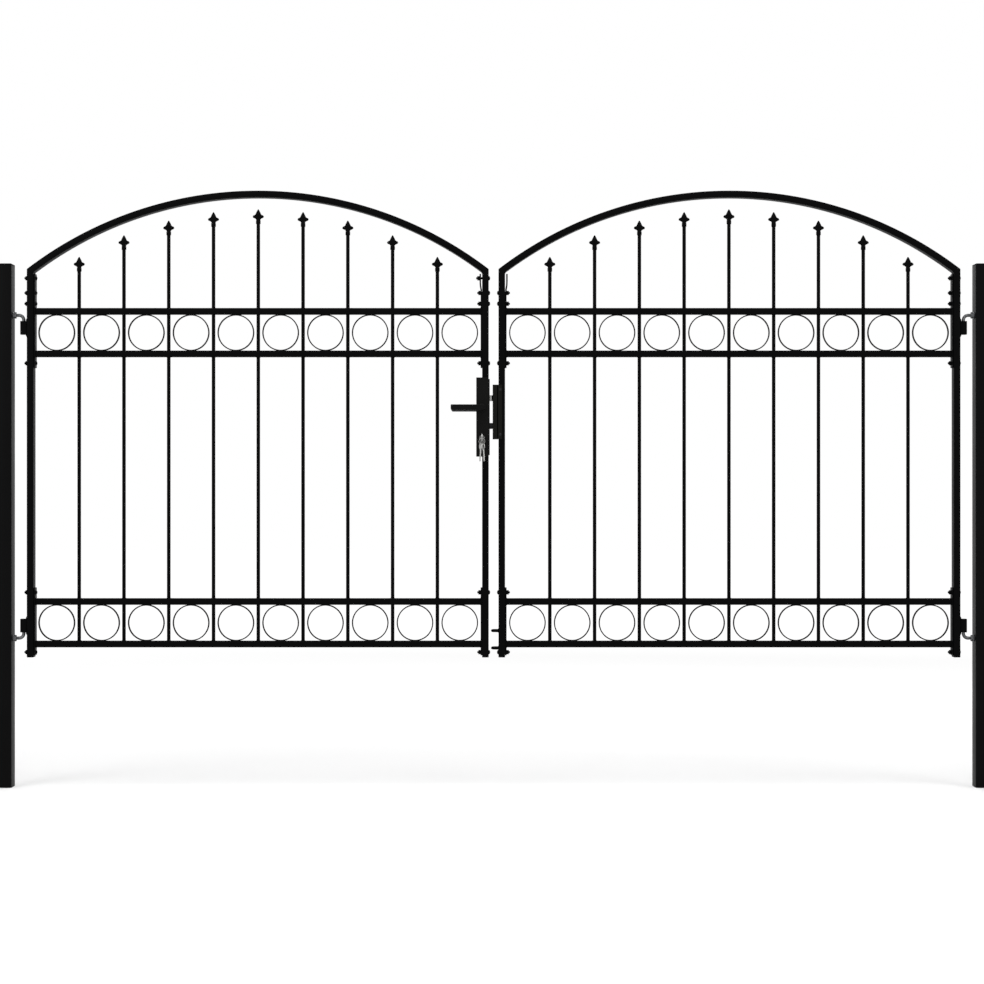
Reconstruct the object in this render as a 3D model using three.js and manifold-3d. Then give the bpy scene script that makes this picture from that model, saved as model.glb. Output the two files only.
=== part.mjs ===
// Double steel gate: two arched leaves with ring bands and spear-topped bars, hung between two square posts.
// Units are millimetres, +Z is up, +X runs along the gate and the front faces -Y.
// The origin is the centre of the left post's foot.

import * as THREE from 'three';
import { mergeVertices } from 'three/addons/utils/BufferGeometryUtils.js';
import Module from 'manifold-3d';

const wasm = await Module();
wasm.setup();

// ---------- driving dimensions ----------

// Fits
const TOUCH_GAP = 0.3;            // between pieces that rest on or are welded to each other
const PIN_CLEARANCE = 0.3;        // round a rod or bar in its hole, on the radius
const SLIDE_CLEARANCE = 0.6;      // round a bolt in its channel

// Posts
const POST_SPACING = 3000;        // centre to centre
const POST_WIDTH = 60;
const POST_WALL = 2;
const POST_CORNER = 3;
const POST_RISE = 11;             // top of the steel tube above the stiles' tops
const FOOT_PLATE = 3;
const CAP_PLATE = 6;
const CAP_SPIGOT = 18;

// Leaf frame
const LEAF_CLEARANCE = 397;       // from the post foot to the underside of a leaf
const HINGE_GAP = 45;             // between post and leaf
const MEETING_GAP = 30;           // between the two leaves
const FRAME_FACE = 20;            // frame tube, seen from the front
const FRAME_DEPTH = 40;
const FRAME_WALL = 1.5;
const FRAME_CORNER = 2;
const STILE_HEIGHT = 1186;        // outer edge of a stile, up to the arch
const ARCH_RISE = 239;            // crown of the arch above the stiles' tops
const ARCH_STEPS = 16;            // half the number of straight stretches along the arch

// Infill
const LOWER_BAND_RISE = 30;       // underside of the lower ring band above the leaf's underside
const UPPER_BAND_DROP = 118.5;    // top of the upper ring band below the stiles' tops
const RING_DIAMETER = 112;
const RING_THICKNESS = 3.5;
const RING_DEPTH = 10;
const RING_SIDES = 12;
const WELD_BITE = 1;              // how far a ring is let into its rail
const RAIL_FACE = 20;
const RAIL_DEPTH = 20;
const RAIL_CORNER = 2;
const END_PLATE = 5;
const END_PLATE_DEPTH = 30;
const END_PLATE_ABOVE = { lower: 33, upper: 104 };    // how far an end plate stands out above its band
const END_PLATE_BELOW = { lower: 24, upper: 33 };     // and below it
const BAR_COUNT = 9;
const BAR_DIAMETER = 11;
const BAR_SIDES = 8;
const BAR_SEAT = 5;               // thickness of the bottom rail left under each bar

// Spear heads
const SPEAR_GAP = 35;             // from each tip to the arch above it
const SPEAR_HEIGHT = 45;
const SPEAR_SPAN = 34;
const SPEAR_PLATE = 8;            // thickness of the side lobes
const SPEAR_POINT = 17;           // thickest part of the point
const SOCKET_NECK = 0.8;          // wall of the socket round the bar, at its neck
const SOCKET_RIM = 1.6;           // and at its rim

// Hinges
const PIN_OFFSET = 12.5;          // hinge axis to the leaf's edge
const HINGE_RISE = { lower: -8.5, upper: 14.5 };      // middle of a bracket above that of its ring band
const BRACKET_REACH = 22;
const BRACKET_HEIGHT = 41;
const BRACKET_DEPTH = 24;
const BRACKET_WELD = 10;
const HOOK_DIAMETER = 10;
const HOOK_SIDES = 8;
const HOOK_STANDOFF = 18;         // shank axis to the bracket
const HOOK_BEND = 14;
const HOOK_BEND_STEPS = 5;
const HOOK_ENGAGEMENT = 28;
const NUT_ACROSS_FLATS = 17;
const NUT_THICKNESS = 8;
const WASHER_DIAMETER = 21;
const WASHER_THICKNESS = 2;
const WASHER_SIDES = 12;
const SHANK_TAIL = 4;             // thread that stands out of the outer nut

// Lock on the left leaf
const LOCK_BOTTOM = 613;          // case, above the leaf's underside
const LOCK_HEIGHT = 242;
const LOCK_WIDTH = 38;            // from the inner edge of the case to the faceplate
const LOCK_DEPTH = 45;
const FACEPLATE_THICKNESS = 2.8;
const FACEPLATE_INSET = 5;        // shorter than the case at each end
const BACKSET = 23.5;             // faceplate face to the spindle axis
const CYLINDER_RISE = 57;         // cylinder axis above the bottom of the case
const DEADBOLT_RISE = 37;         // deadbolt above the cylinder axis
const LEVER_CENTRES = 92;         // spindle axis above the cylinder axis
const LATCH_RISE = 30;            // latch above the spindle axis
const BOLT_FACE = 18;
const BOLT_DEPTH = 12;
const LATCH_TRAVEL = 14;
const DEADBOLT_TRAVEL = 18;
const BOLT_SPARE = 0.7;           // how far a withdrawn bolt still stands out
const BOLT_TAIL = 8;              // length of a thrown bolt behind the faceplate

// Lever handle
const SPINDLE_DIAMETER = 12;
const SPINDLE_SIDES = 12;
const LEVER_LENGTH = 95;          // spindle axis to the free end
const LEVER_FACE = 18;
const LEVER_THICKNESS = 14;
const LEVER_STANDOFF = 30;        // free space between case and lever

// Key cylinder and keys
const CYLINDER_DIAMETER = 17;
const CYLINDER_PROFILE = 33;      // full height of the profile
const CYLINDER_WEB = 10;
const CYLINDER_PROUD = 5;
const KEYWAY_DEPTH = 26;
const KEY_THICKNESS = 2.6;
const KEY_BOW = 30;
const KEY_BLADE = 6;              // height of the blade
const KEY_INSERTION = 23;         // length of the blade inside the cylinder
const KEY_STANDOFF = 2;           // free space between cylinder and bow
const KEY_EYE = 9;
const KEY_EYE_MARGIN = 3;         // metal left outside the eye
const KEY_RING_DIAMETER = 18;     // centre line of the wire
const KEY_RING_WIRE = 2.4;
const SPARE_KEY_THICKNESS = 2.2;
const SPARE_KEY_BOW = 20;
const SPARE_KEY_BLADE = 39;
const SPARE_KEY_WIDTH = 8;
const SPARE_KEY_EYE = 7;
const SPARE_KEY_MARGIN = 2;
const SPARE_KEY_SPREAD = 3.4;
const SPARE_KEY_SPLAY = 0.06;

// Keeper and drop-rod guides on the right leaf
const KEEPER_GAP = 9;             // faceplate to keeper
const KEEPER_MARGIN = 40.5;       // above the middle of the latch, and below that of the deadbolt
const KEEPER_FLANGE = 2.5;
const KEEPER_LAP = 11;            // how far the flange laps over the stile
const KEEPER_BACK = 2;            // wall left behind each bolt pocket
const GUIDE_HEIGHTS = { lower: 28, upper: 81 };
const GUIDE_ROD = 9;
const GUIDE_REACH = 23;
const GUIDE_BEND = 9.5;           // centre line of the loop's round end
const GUIDE_BEND_STEPS = 8;

// ---------- places worked out from them ----------

const leafWidth = (POST_SPACING - POST_WIDTH - MEETING_GAP) / 2 - HINGE_GAP;
const pinFromPost = POST_WIDTH / 2 + HINGE_GAP - PIN_OFFSET;
const leafMiddle = PIN_OFFSET + leafWidth / 2;
const meetingEdge = PIN_OFFSET + leafWidth;
const openWidth = leafWidth - 2 * FRAME_FACE;
const barPitch = openWidth / (BAR_COUNT + 1);
const archOuter = ((leafWidth / 2) ** 2 + ARCH_RISE ** 2) / (2 * ARCH_RISE);
const archInner = archOuter - FRAME_FACE;
const archCentre = STILE_HEIGHT + ARCH_RISE - archOuter;
const postTop = LEAF_CLEARANCE + STILE_HEIGHT + POST_RISE;
const halfBand = RING_DIAMETER / 2 - WELD_BITE + RAIL_FACE;
const bandMiddles = { lower: LOWER_BAND_RISE + halfBand, upper: STILE_HEIGHT - UPPER_BAND_DROP - halfBand };
const hingeHeights = {
  lower: bandMiddles.lower + HINGE_RISE.lower,
  upper: bandMiddles.upper + HINGE_RISE.upper,
};
const facePlateFace = meetingEdge + TOUCH_GAP + FACEPLATE_THICKNESS;
const lockAxis = facePlateFace - BACKSET;
const keeperEdge = meetingEdge + MEETING_GAP - (facePlateFace - meetingEdge) - KEEPER_GAP;
const cylinderHeight = LOCK_BOTTOM + CYLINDER_RISE;
const deadboltHeight = cylinderHeight + DEADBOLT_RISE;
const leverHeight = cylinderHeight + LEVER_CENTRES;
const latchHeight = leverHeight + LATCH_RISE;

// ---------- finishes ----------

const steelBlack = { color: 0x16171a, roughness: 0.55, metalness: 0.1 };
const capBlack = { color: 0x101113, roughness: 0.7, metalness: 0 };
const zinc = { color: 0x8b8d8f, roughness: 0.45, metalness: 0.9 };
const lockBlack = { color: 0x1c1c1d, roughness: 0.5, metalness: 0.1 };
const keySteel = { color: 0xb9b9b5, roughness: 0.3, metalness: 1 };

// ---------- solids ----------

// A closed geometry becomes a solid once its vertices are shared.
function solid(geometry) {
  geometry.deleteAttribute('normal');
  geometry.deleteAttribute('uv');
  const merged = mergeVertices(geometry, 1e-4);
  const vertProperties = new Float32Array(merged.attributes.position.array);
  const triVerts = new Uint32Array(merged.index.array);
  return new wasm.Manifold(new wasm.Mesh({ numProp: 3, vertProperties, triVerts }));
}

// A solid becomes one named mesh with its own material.
function piece(name, body, finish) {
  const { vertProperties, triVerts } = body.getMesh();
  const geometry = new THREE.BufferGeometry();
  geometry.setAttribute('position', new THREE.BufferAttribute(new Float32Array(vertProperties), 3));
  geometry.setIndex(new THREE.BufferAttribute(new Uint32Array(triVerts), 1));
  geometry.computeVertexNormals();
  const mesh = new THREE.Mesh(geometry, new THREE.MeshStandardMaterial(finish));
  mesh.name = name;
  return mesh;
}

// Box between two corners, given in any order.
function block(from, to) {
  const size = to.map((value, i) => Math.abs(value - from[i]));
  const middle = to.map((value, i) => (value + from[i]) / 2);
  return solid(new THREE.BoxGeometry(...size).translate(...middle));
}

// Round bar along X, Y or Z with a given number of sides.
function round(axis, diameter, from, to, centre, sides) {
  const length = Math.abs(to - from);
  const geometry = new THREE.CylinderGeometry(diameter / 2, diameter / 2, length, sides);
  if (axis === 'x') geometry.rotateZ(Math.PI / 2);
  if (axis === 'z') geometry.rotateX(Math.PI / 2);
  const [a, b] = centre;
  const middle = (from + to) / 2;
  const place = { x: [middle, a, b], y: [a, middle, b], z: [a, b, middle] }[axis];
  return solid(geometry.translate(...place));
}

// Diameter of a hole whose flats stay clear of a round piece inside it, however either is turned.
function holeFor(diameter, clearance, sides) {
  return (diameter + 2 * clearance) / Math.cos(Math.PI / sides);
}

// Outline in the X-Z plane, extruded evenly to both sides of a given Y.
function plate(outline, thickness, y = 0, edge = 0, curveSegments = 6) {
  const geometry = new THREE.ExtrudeGeometry(outline, {
    depth: thickness - 2 * edge,
    curveSegments,
    bevelEnabled: edge > 0,
    bevelThickness: edge,
    bevelSize: edge,
    bevelOffset: -edge,
    bevelSegments: 1,
  });
  geometry.rotateX(Math.PI / 2);
  geometry.translate(0, y + thickness / 2 - edge, 0);
  return solid(geometry);
}

function polygon(points) {
  return new THREE.Shape(points.map(([x, z]) => new THREE.Vector2(x, z)));
}

// Rectangle with round corners, centred on the origin.
function roundedRectangle(width, depth, corner) {
  const [x, y] = [width / 2 - corner, depth / 2 - corner];
  const shape = new THREE.Shape();
  shape.absarc(x, -y, corner, -Math.PI / 2, 0);
  shape.absarc(x, y, corner, 0, Math.PI / 2);
  shape.absarc(-x, y, corner, Math.PI / 2, Math.PI);
  shape.absarc(-x, -y, corner, Math.PI, 1.5 * Math.PI);
  shape.closePath();
  return shape;
}

// Upright square or rectangular bar with round corners.
function uprightBar(width, depth, corner, bottom, top, x = 0) {
  const section = roundedRectangle(width, depth, corner);
  const length = top - bottom;
  const options = { depth: length, curveSegments: 1, bevelEnabled: false };
  const geometry = new THREE.ExtrudeGeometry(section, options);
  return solid(geometry.translate(x, 0, bottom));
}

// Level bar with round corners, along X.
function levelBar(height, depth, corner, from, to, z) {
  const section = roundedRectangle(height, depth, corner);
  const length = Math.abs(to - from);
  const options = { depth: length, curveSegments: 1, bevelEnabled: false };
  const geometry = new THREE.ExtrudeGeometry(section, options);
  geometry.translate(0, 0, -length / 2);
  geometry.rotateY(Math.PI / 2);
  return solid(geometry.translate((from + to) / 2, 0, z));
}

// Upright tube, open at its ends.
function uprightTube(width, depth, wall, corner, bottom, top, x = 0) {
  const outside = uprightBar(width, depth, corner, bottom, top, x);
  const inside = block(
    [x - width / 2 + wall, -depth / 2 + wall, bottom - 1],
    [x + width / 2 - wall, depth / 2 - wall, top + 1],
  );
  return outside.subtract(inside);
}

// Path through chosen points, with one step between each two.
class PointPath extends THREE.Curve {
  constructor(points) {
    super();
    this.points = points;
  }

  getPoint(t, target = new THREE.Vector3()) {
    const place = Math.min(Math.max(t, 0), 1) * (this.points.length - 1);
    const index = Math.min(Math.floor(place), this.points.length - 2);
    return target.lerpVectors(this.points[index], this.points[index + 1], place - index);
  }

  getUtoTmapping(u) {
    return u;
  }
}

// Round rod bent along a path.
function bentRod(points, diameter, sides) {
  const section = new THREE.Shape();
  for (let i = 0; i < sides; i += 1) {
    const angle = (2 * Math.PI * i) / sides;
    const [x, y] = [Math.cos(angle) * diameter / 2, Math.sin(angle) * diameter / 2];
    if (i === 0) section.moveTo(x, y);
    else section.lineTo(x, y);
  }
  section.closePath();
  const extrudePath = new PointPath(points);
  const steps = points.length - 1;
  return solid(new THREE.ExtrudeGeometry(section, { steps, extrudePath, bevelEnabled: false }));
}

// ---------- posts ----------

// Heights of the hinge hooks' level shanks above the leaf's underside.
const shankHeights = {
  lower: hingeHeights.lower - BRACKET_HEIGHT / 2 - HOOK_STANDOFF,
  upper: hingeHeights.upper + BRACKET_HEIGHT / 2 + HOOK_STANDOFF,
};

function post(name) {
  const outside = uprightBar(POST_WIDTH, POST_WIDTH, POST_CORNER, 0, postTop);
  const half = POST_WIDTH / 2 - POST_WALL;
  let body = outside.subtract(block([-half, -half, FOOT_PLATE], [half, half, postTop + 1]));
  for (const height of Object.values(shankHeights)) {
    const z = LEAF_CLEARANCE + height;
    const bore = holeFor(HOOK_DIAMETER, PIN_CLEARANCE, HOOK_SIDES);
    body = body.subtract(round('x', bore, -POST_WIDTH, POST_WIDTH, [0, z], HOOK_SIDES));
  }
  return piece(name, body, steelBlack);
}

function postCap(name) {
  const bottom = postTop + TOUCH_GAP;
  const spigot = POST_WIDTH - 2 * POST_WALL - 2 * TOUCH_GAP;
  const lid = uprightBar(POST_WIDTH, POST_WIDTH, POST_CORNER, bottom, postTop + CAP_PLATE);
  const plug = uprightBar(spigot, spigot, POST_CORNER, postTop - CAP_SPIGOT, bottom + CAP_PLATE / 2);
  return piece(name, lid.add(plug), capBlack);
}

// Hinge hook: a shank through the post, bent up or down into the bracket's hole; hand is +1 on the left post.
function hingeHook(name, hand, end) {
  const turn = end === 'upper' ? -1 : 1;
  const z = shankHeights[end];
  const pinEnd = hingeHeights[end] - turn * (BRACKET_HEIGHT / 2 - HOOK_ENGAGEMENT);
  const postFace = -pinFromPost + POST_WIDTH / 2;
  const outerNut = postFace - POST_WIDTH - TOUCH_GAP;
  const points = [new THREE.Vector3(hand * (outerNut - WASHER_THICKNESS - NUT_THICKNESS - SHANK_TAIL), 0, z)];
  for (let i = 0; i <= HOOK_BEND_STEPS; i += 1) {
    const angle = (Math.PI / 2) * (i / HOOK_BEND_STEPS);
    const x = -HOOK_BEND + HOOK_BEND * Math.sin(angle);
    const rise = HOOK_BEND * (1 - Math.cos(angle));
    points.push(new THREE.Vector3(hand * x, 0, z + turn * rise));
  }
  points.push(new THREE.Vector3(0, 0, pinEnd));
  let body = bentRod(points, HOOK_DIAMETER, HOOK_SIDES);
  for (const [face, away] of [[postFace + TOUCH_GAP, 1], [outerNut, -1]]) {
    const seat = face + away * WASHER_THICKNESS;
    body = body.add(round('x', WASHER_DIAMETER, hand * face, hand * seat, [0, z], WASHER_SIDES));
    const acrossCorners = NUT_ACROSS_FLATS / Math.cos(Math.PI / 6);
    const nutEnd = seat + away * NUT_THICKNESS;
    body = body.add(round('x', acrossCorners, hand * seat, hand * nutEnd, [0, z], 6));
  }
  return piece(name, body, zinc);
}

// ---------- leaf frame ----------

// Corner of the frame, where the mitre runs from the outer to the inner edge.
function mitre(hand, side) {
  const outerX = leafMiddle + side * (leafWidth / 2);
  const innerX = outerX - side * FRAME_FACE;
  const outerRun = leafWidth / 2;
  const innerRun = outerRun - FRAME_FACE;
  const outer = new THREE.Vector2(hand * outerX, archCentre + Math.sqrt(archOuter ** 2 - outerRun ** 2));
  const inner = new THREE.Vector2(hand * innerX, archCentre + Math.sqrt(archInner ** 2 - innerRun ** 2));
  return { outer, inner };
}

// Everything on the arch's side of the mitre, or on the stile's side of it.
function beyondMitre(hand, side, keep) {
  const { outer, inner } = mitre(hand, side);
  const along = inner.clone().sub(outer).normalize();
  const reach = 2 * FRAME_FACE;
  const up = new THREE.Vector2(-along.y, along.x);
  if (up.y < 0) up.negate();
  const away = keep === 'arch' ? 1 : -1;
  const start = up.clone().multiplyScalar(-away * TOUCH_GAP / 2);
  const far = up.clone().multiplyScalar(away * 8 * FRAME_FACE);
  const a = outer.clone().addScaledVector(along, -reach).add(start);
  const b = inner.clone().addScaledVector(along, reach).add(start);
  const corners = [a, b, b.clone().add(far), a.clone().add(far)];
  return plate(polygon(corners.map((corner) => [corner.x, corner.y])), 2 * FRAME_DEPTH);
}

// Stile: side is -1 at the hinges and +1 where the leaves meet.
function stile(hand, side) {
  const x = hand * (leafMiddle + side * (leafWidth - FRAME_FACE) / 2);
  const top = mitre(hand, side).outer.y + FRAME_FACE;
  const tube = uprightTube(FRAME_FACE, FRAME_DEPTH, FRAME_WALL, FRAME_CORNER, 0, top, x);
  return tube.subtract(beyondMitre(hand, side, 'arch'));
}

// Hinge bracket with its weld slopes and the hole for the hook.
function bracket(hand, height) {
  const root = PIN_OFFSET + FRAME_WALL;
  const tip = PIN_OFFSET - BRACKET_REACH;
  const half = BRACKET_HEIGHT / 2;
  const weldFoot = PIN_OFFSET - BRACKET_WELD / 2;
  const outline = polygon([
    [hand * root, height - half - BRACKET_WELD],
    [hand * PIN_OFFSET, height - half - BRACKET_WELD],
    [hand * weldFoot, height - half],
    [hand * tip, height - half],
    [hand * tip, height + half],
    [hand * weldFoot, height + half],
    [hand * PIN_OFFSET, height + half + BRACKET_WELD],
    [hand * root, height + half + BRACKET_WELD],
  ]);
  const bore = holeFor(HOOK_DIAMETER, PIN_CLEARANCE, HOOK_SIDES);
  const hole = round('z', bore, height - half - 1, height + half + 1, [0, 0], HOOK_SIDES);
  return plate(outline, BRACKET_DEPTH).subtract(hole);
}

function hingeStile(name, hand) {
  let body = stile(hand, -1);
  for (const height of Object.values(hingeHeights)) body = body.add(bracket(hand, height));
  return piece(name, body, steelBlack);
}

function archSector(outerRadius, innerRadius, depth, edge) {
  const half = Math.asin((leafWidth / 2 + FRAME_FACE) / archOuter);
  const shape = new THREE.Shape();
  shape.absarc(0, 0, outerRadius, Math.PI / 2 - half, Math.PI / 2 + half);
  shape.absarc(0, 0, innerRadius, Math.PI / 2 + half, Math.PI / 2 - half, true);
  shape.closePath();
  return plate(shape, depth, 0, edge, ARCH_STEPS);
}

function arch(name, hand) {
  const outside = archSector(archOuter, archInner, FRAME_DEPTH, FRAME_CORNER);
  const inside = archSector(archOuter - FRAME_WALL, archInner + FRAME_WALL, FRAME_DEPTH - 2 * FRAME_WALL, 0);
  let body = outside.subtract(inside).translate([hand * leafMiddle, 0, archCentre]);
  for (const side of [-1, 1]) body = body.subtract(beyondMitre(hand, side, 'stile'));
  return piece(name, body, steelBlack);
}

// ---------- infill ----------

const bandLeft = PIN_OFFSET + FRAME_FACE + TOUCH_GAP;
const bandRight = meetingEdge - FRAME_FACE - TOUCH_GAP;

function barX(index) {
  return leafMiddle + (index - (BAR_COUNT - 1) / 2) * barPitch;
}

function barHole(hand, index, bottom, top) {
  const diameter = holeFor(BAR_DIAMETER, PIN_CLEARANCE, BAR_SIDES);
  return round('z', diameter, bottom, top, [hand * barX(index), 0], BAR_SIDES);
}

// Two rails with a row of rings welded between them and a bolted plate on each end.
function ringBand(name, hand, end) {
  const middle = bandMiddles[end];
  const railOffset = halfBand - RAIL_FACE / 2;
  const [low, high] = [middle - railOffset, middle + railOffset];
  const from = hand * (bandLeft + END_PLATE / 2);
  const to = hand * (bandRight - END_PLATE / 2);
  let body = levelBar(RAIL_FACE, RAIL_DEPTH, RAIL_CORNER, from, to, low);
  body = body.add(levelBar(RAIL_FACE, RAIL_DEPTH, RAIL_CORNER, from, to, high));
  const plateBottom = middle - halfBand - END_PLATE_BELOW[end];
  const plateTop = middle + halfBand + END_PLATE_ABOVE[end];
  for (const [near, far] of [[bandLeft, bandLeft + END_PLATE], [bandRight, bandRight - END_PLATE]]) {
    const halfDepth = END_PLATE_DEPTH / 2;
    body = body.add(block([hand * near, -halfDepth, plateBottom], [hand * far, halfDepth, plateTop]));
  }
  for (let i = 0; i <= BAR_COUNT; i += 1) {
    const x = hand * (barX(i) - barPitch / 2);
    const outside = round('y', RING_DIAMETER, -RING_DEPTH / 2, RING_DEPTH / 2, [x, middle], RING_SIDES);
    const bore = RING_DIAMETER - 2 * RING_THICKNESS;
    const inside = round('y', bore, -RING_DEPTH, RING_DEPTH, [x, middle], RING_SIDES);
    body = body.add(outside.subtract(inside));
  }
  for (let i = 0; i < BAR_COUNT; i += 1) {
    const seat = end === 'lower' ? LOWER_BAND_RISE + BAR_SEAT - TOUCH_GAP : low - RAIL_FACE;
    body = body.subtract(barHole(hand, i, seat, high + RAIL_FACE));
  }
  return piece(name, body, steelBlack);
}

// Spear head with a round point, two side lobes and a socket; its tip is at the origin.
function spearHead() {
  const neck = BAR_DIAMETER / 2 + SOCKET_NECK;
  const rim = BAR_DIAMETER / 2 + SOCKET_RIM;
  const profile = [
    [0, 0],
    [0.95 * SPEAR_POINT / 2, -0.38 * SPEAR_HEIGHT],
    [SPEAR_POINT / 2, -0.46 * SPEAR_HEIGHT],
    [neck, -0.66 * SPEAR_HEIGHT],
    [rim, -0.76 * SPEAR_HEIGHT],
    [rim, -SPEAR_HEIGHT],
    [0, -SPEAR_HEIGHT],
  ].map(([radius, z]) => new THREE.Vector2(radius, z)).reverse();
  const turned = new THREE.LatheGeometry(profile, BAR_SIDES).rotateX(Math.PI / 2);
  const [tip, low, high] = [SPEAR_SPAN / 2, -0.62 * SPEAR_HEIGHT, -0.38 * SPEAR_HEIGHT];
  const lobes = polygon([
    [-0.35 * tip, low],
    [0.35 * tip, low],
    [0.82 * tip, -0.58 * SPEAR_HEIGHT],
    [tip, -0.51 * SPEAR_HEIGHT],
    [0.86 * tip, -0.44 * SPEAR_HEIGHT],
    [0.4 * tip, high],
    [-0.4 * tip, high],
    [-0.86 * tip, -0.44 * SPEAR_HEIGHT],
    [-tip, -0.51 * SPEAR_HEIGHT],
    [-0.82 * tip, -0.58 * SPEAR_HEIGHT],
  ]);
  return solid(turned).add(plate(lobes, SPEAR_PLATE));
}

function bar(name, hand, index) {
  const run = barX(index) - leafMiddle;
  const tip = archCentre + Math.sqrt((archInner - SPEAR_GAP) ** 2 - run ** 2);
  const foot = LOWER_BAND_RISE + BAR_SEAT;
  const x = hand * barX(index);
  const shaft = round('z', BAR_DIAMETER, foot, tip - SPEAR_HEIGHT / 2, [x, 0], BAR_SIDES);
  return piece(name, shaft.add(spearHead().translate([x, 0, tip])), steelBlack);
}

// ---------- lock ----------

const lockTop = LOCK_BOTTOM + LOCK_HEIGHT;
const lockInner = facePlateFace - FACEPLATE_THICKNESS - TOUCH_GAP - LOCK_WIDTH;
const stileWallInner = meetingEdge - FRAME_WALL;

// Level channel for a bolt, from one distance to another.
function boltChannel(height, from, to) {
  const half = BOLT_FACE / 2 + SLIDE_CLEARANCE;
  const depth = BOLT_DEPTH / 2 + SLIDE_CLEARANCE;
  return block([from, -depth, height - half], [to, depth, height + half]);
}

// Meeting stile; on the left leaf it is pocketed for the lock, leaving the face that the bolts pass through.
function lockStile(name) {
  let body = stile(1, 1);
  const pocketFrom = meetingEdge - FRAME_FACE - 1;
  const pocket = block([pocketFrom, -FRAME_DEPTH, LOCK_BOTTOM], [stileWallInner, FRAME_DEPTH, lockTop]);
  body = body.subtract(pocket);
  for (const height of [latchHeight, deadboltHeight]) {
    body = body.subtract(boltChannel(height, stileWallInner - 1, meetingEdge + 1));
  }
  return piece(name, body, steelBlack);
}

// Profile of the key cylinder: a round core over a narrow web.
function cylinderProfile(extra) {
  const radius = CYLINDER_DIAMETER / 2 + extra;
  const web = CYLINDER_WEB / 2 + extra;
  const bottom = cylinderHeight + CYLINDER_DIAMETER / 2 - CYLINDER_PROFILE - extra;
  const corner = Math.asin(web / radius);
  const shape = new THREE.Shape();
  shape.absarc(lockAxis, cylinderHeight, radius, -Math.PI / 2 + corner, 1.5 * Math.PI - corner);
  shape.lineTo(lockAxis - web, bottom);
  shape.lineTo(lockAxis + web, bottom);
  shape.closePath();
  return shape;
}

function lockCase(name) {
  const right = stileWallInner - TOUCH_GAP;
  const half = LOCK_DEPTH / 2;
  const outline = polygon([
    [lockInner, LOCK_BOTTOM + TOUCH_GAP],
    [right, LOCK_BOTTOM + TOUCH_GAP],
    [right, lockTop - TOUCH_GAP],
    [lockInner, lockTop - TOUCH_GAP],
  ]);
  let body = plate(outline, LOCK_DEPTH, 0, 1);
  const back = facePlateFace - BOLT_TAIL;
  body = body.subtract(boltChannel(latchHeight, back - LATCH_TRAVEL - SLIDE_CLEARANCE, right + 1));
  body = body.subtract(boltChannel(deadboltHeight, back - DEADBOLT_TRAVEL - SLIDE_CLEARANCE, right + 1));
  const bore = holeFor(SPINDLE_DIAMETER, PIN_CLEARANCE, SPINDLE_SIDES);
  body = body.subtract(round('y', bore, -half - 1, half + 1, [lockAxis, leverHeight], SPINDLE_SIDES));
  body = body.subtract(plate(cylinderProfile(PIN_CLEARANCE), LOCK_DEPTH + 2));
  return piece(name, body, lockBlack);
}

function facePlate(name) {
  const bottom = LOCK_BOTTOM + FACEPLATE_INSET;
  const top = lockTop - FACEPLATE_INSET;
  const half = LOCK_DEPTH / 2 - 1;
  let body = block([meetingEdge + TOUCH_GAP, -half, bottom], [facePlateFace, half, top]);
  for (const height of [latchHeight, deadboltHeight]) {
    body = body.subtract(boltChannel(height, meetingEdge - 1, facePlateFace + 1));
  }
  return piece(name, body, lockBlack);
}

// Bolt that stands out of the faceplate by its travel and a little more.
function bolt(name, height, travel, bevelled, finish) {
  const tip = facePlateFace + travel + BOLT_SPARE;
  const back = facePlateFace - BOLT_TAIL;
  const half = BOLT_FACE / 2;
  let body = block([back, -BOLT_DEPTH / 2, height - half], [tip, BOLT_DEPTH / 2, height + half]);
  if (bevelled) {
    const wedge = new THREE.Shape();
    wedge.moveTo(tip - travel * 0.6, -BOLT_DEPTH / 2 - 1);
    wedge.lineTo(tip + 1, BOLT_DEPTH / 3);
    wedge.lineTo(tip + 1, -BOLT_DEPTH / 2 - 1);
    wedge.closePath();
    const cut = new THREE.ExtrudeGeometry(wedge, { depth: BOLT_FACE + 2, bevelEnabled: false });
    body = body.subtract(solid(cut.translate(0, 0, height - half - 1)));
  }
  return piece(name, body, finish);
}

// Lever on each side of the leaf, joined by the spindle; both point away from the meeting edge.
function leverHandle(name) {
  const outer = LOCK_DEPTH / 2 + LEVER_STANDOFF + LEVER_THICKNESS;
  const middle = outer - LEVER_THICKNESS / 2;
  const half = LEVER_FACE / 2;
  let body = round('y', SPINDLE_DIAMETER, -middle, middle, [lockAxis, leverHeight], SPINDLE_SIDES);
  const grip = new THREE.Shape();
  grip.absarc(lockAxis, leverHeight, half, -Math.PI / 2, Math.PI / 2);
  grip.lineTo(lockAxis - LEVER_LENGTH, leverHeight + half);
  grip.absarc(lockAxis - LEVER_LENGTH + half, leverHeight, half, Math.PI, 1.5 * Math.PI);
  grip.closePath();
  for (const side of [-1, 1]) body = body.add(plate(grip, LEVER_THICKNESS, side * middle, 2, 3));
  return piece(name, body, lockBlack);
}

// ---------- key cylinder and keys ----------

const cylinderFace = -(LOCK_DEPTH / 2 + CYLINDER_PROUD);

function keyCylinder(name) {
  const length = LOCK_DEPTH + 2 * CYLINDER_PROUD;
  const slot = holeFor(Math.hypot(KEY_BLADE, KEY_THICKNESS), PIN_CLEARANCE, 8);
  const body = plate(cylinderProfile(0), length);
  const keywayEnd = cylinderFace + KEYWAY_DEPTH;
  const keyway = round('y', slot, cylinderFace - 1, keywayEnd, [lockAxis, cylinderHeight], 8);
  return piece(name, body.subtract(keyway), zinc);
}

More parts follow.
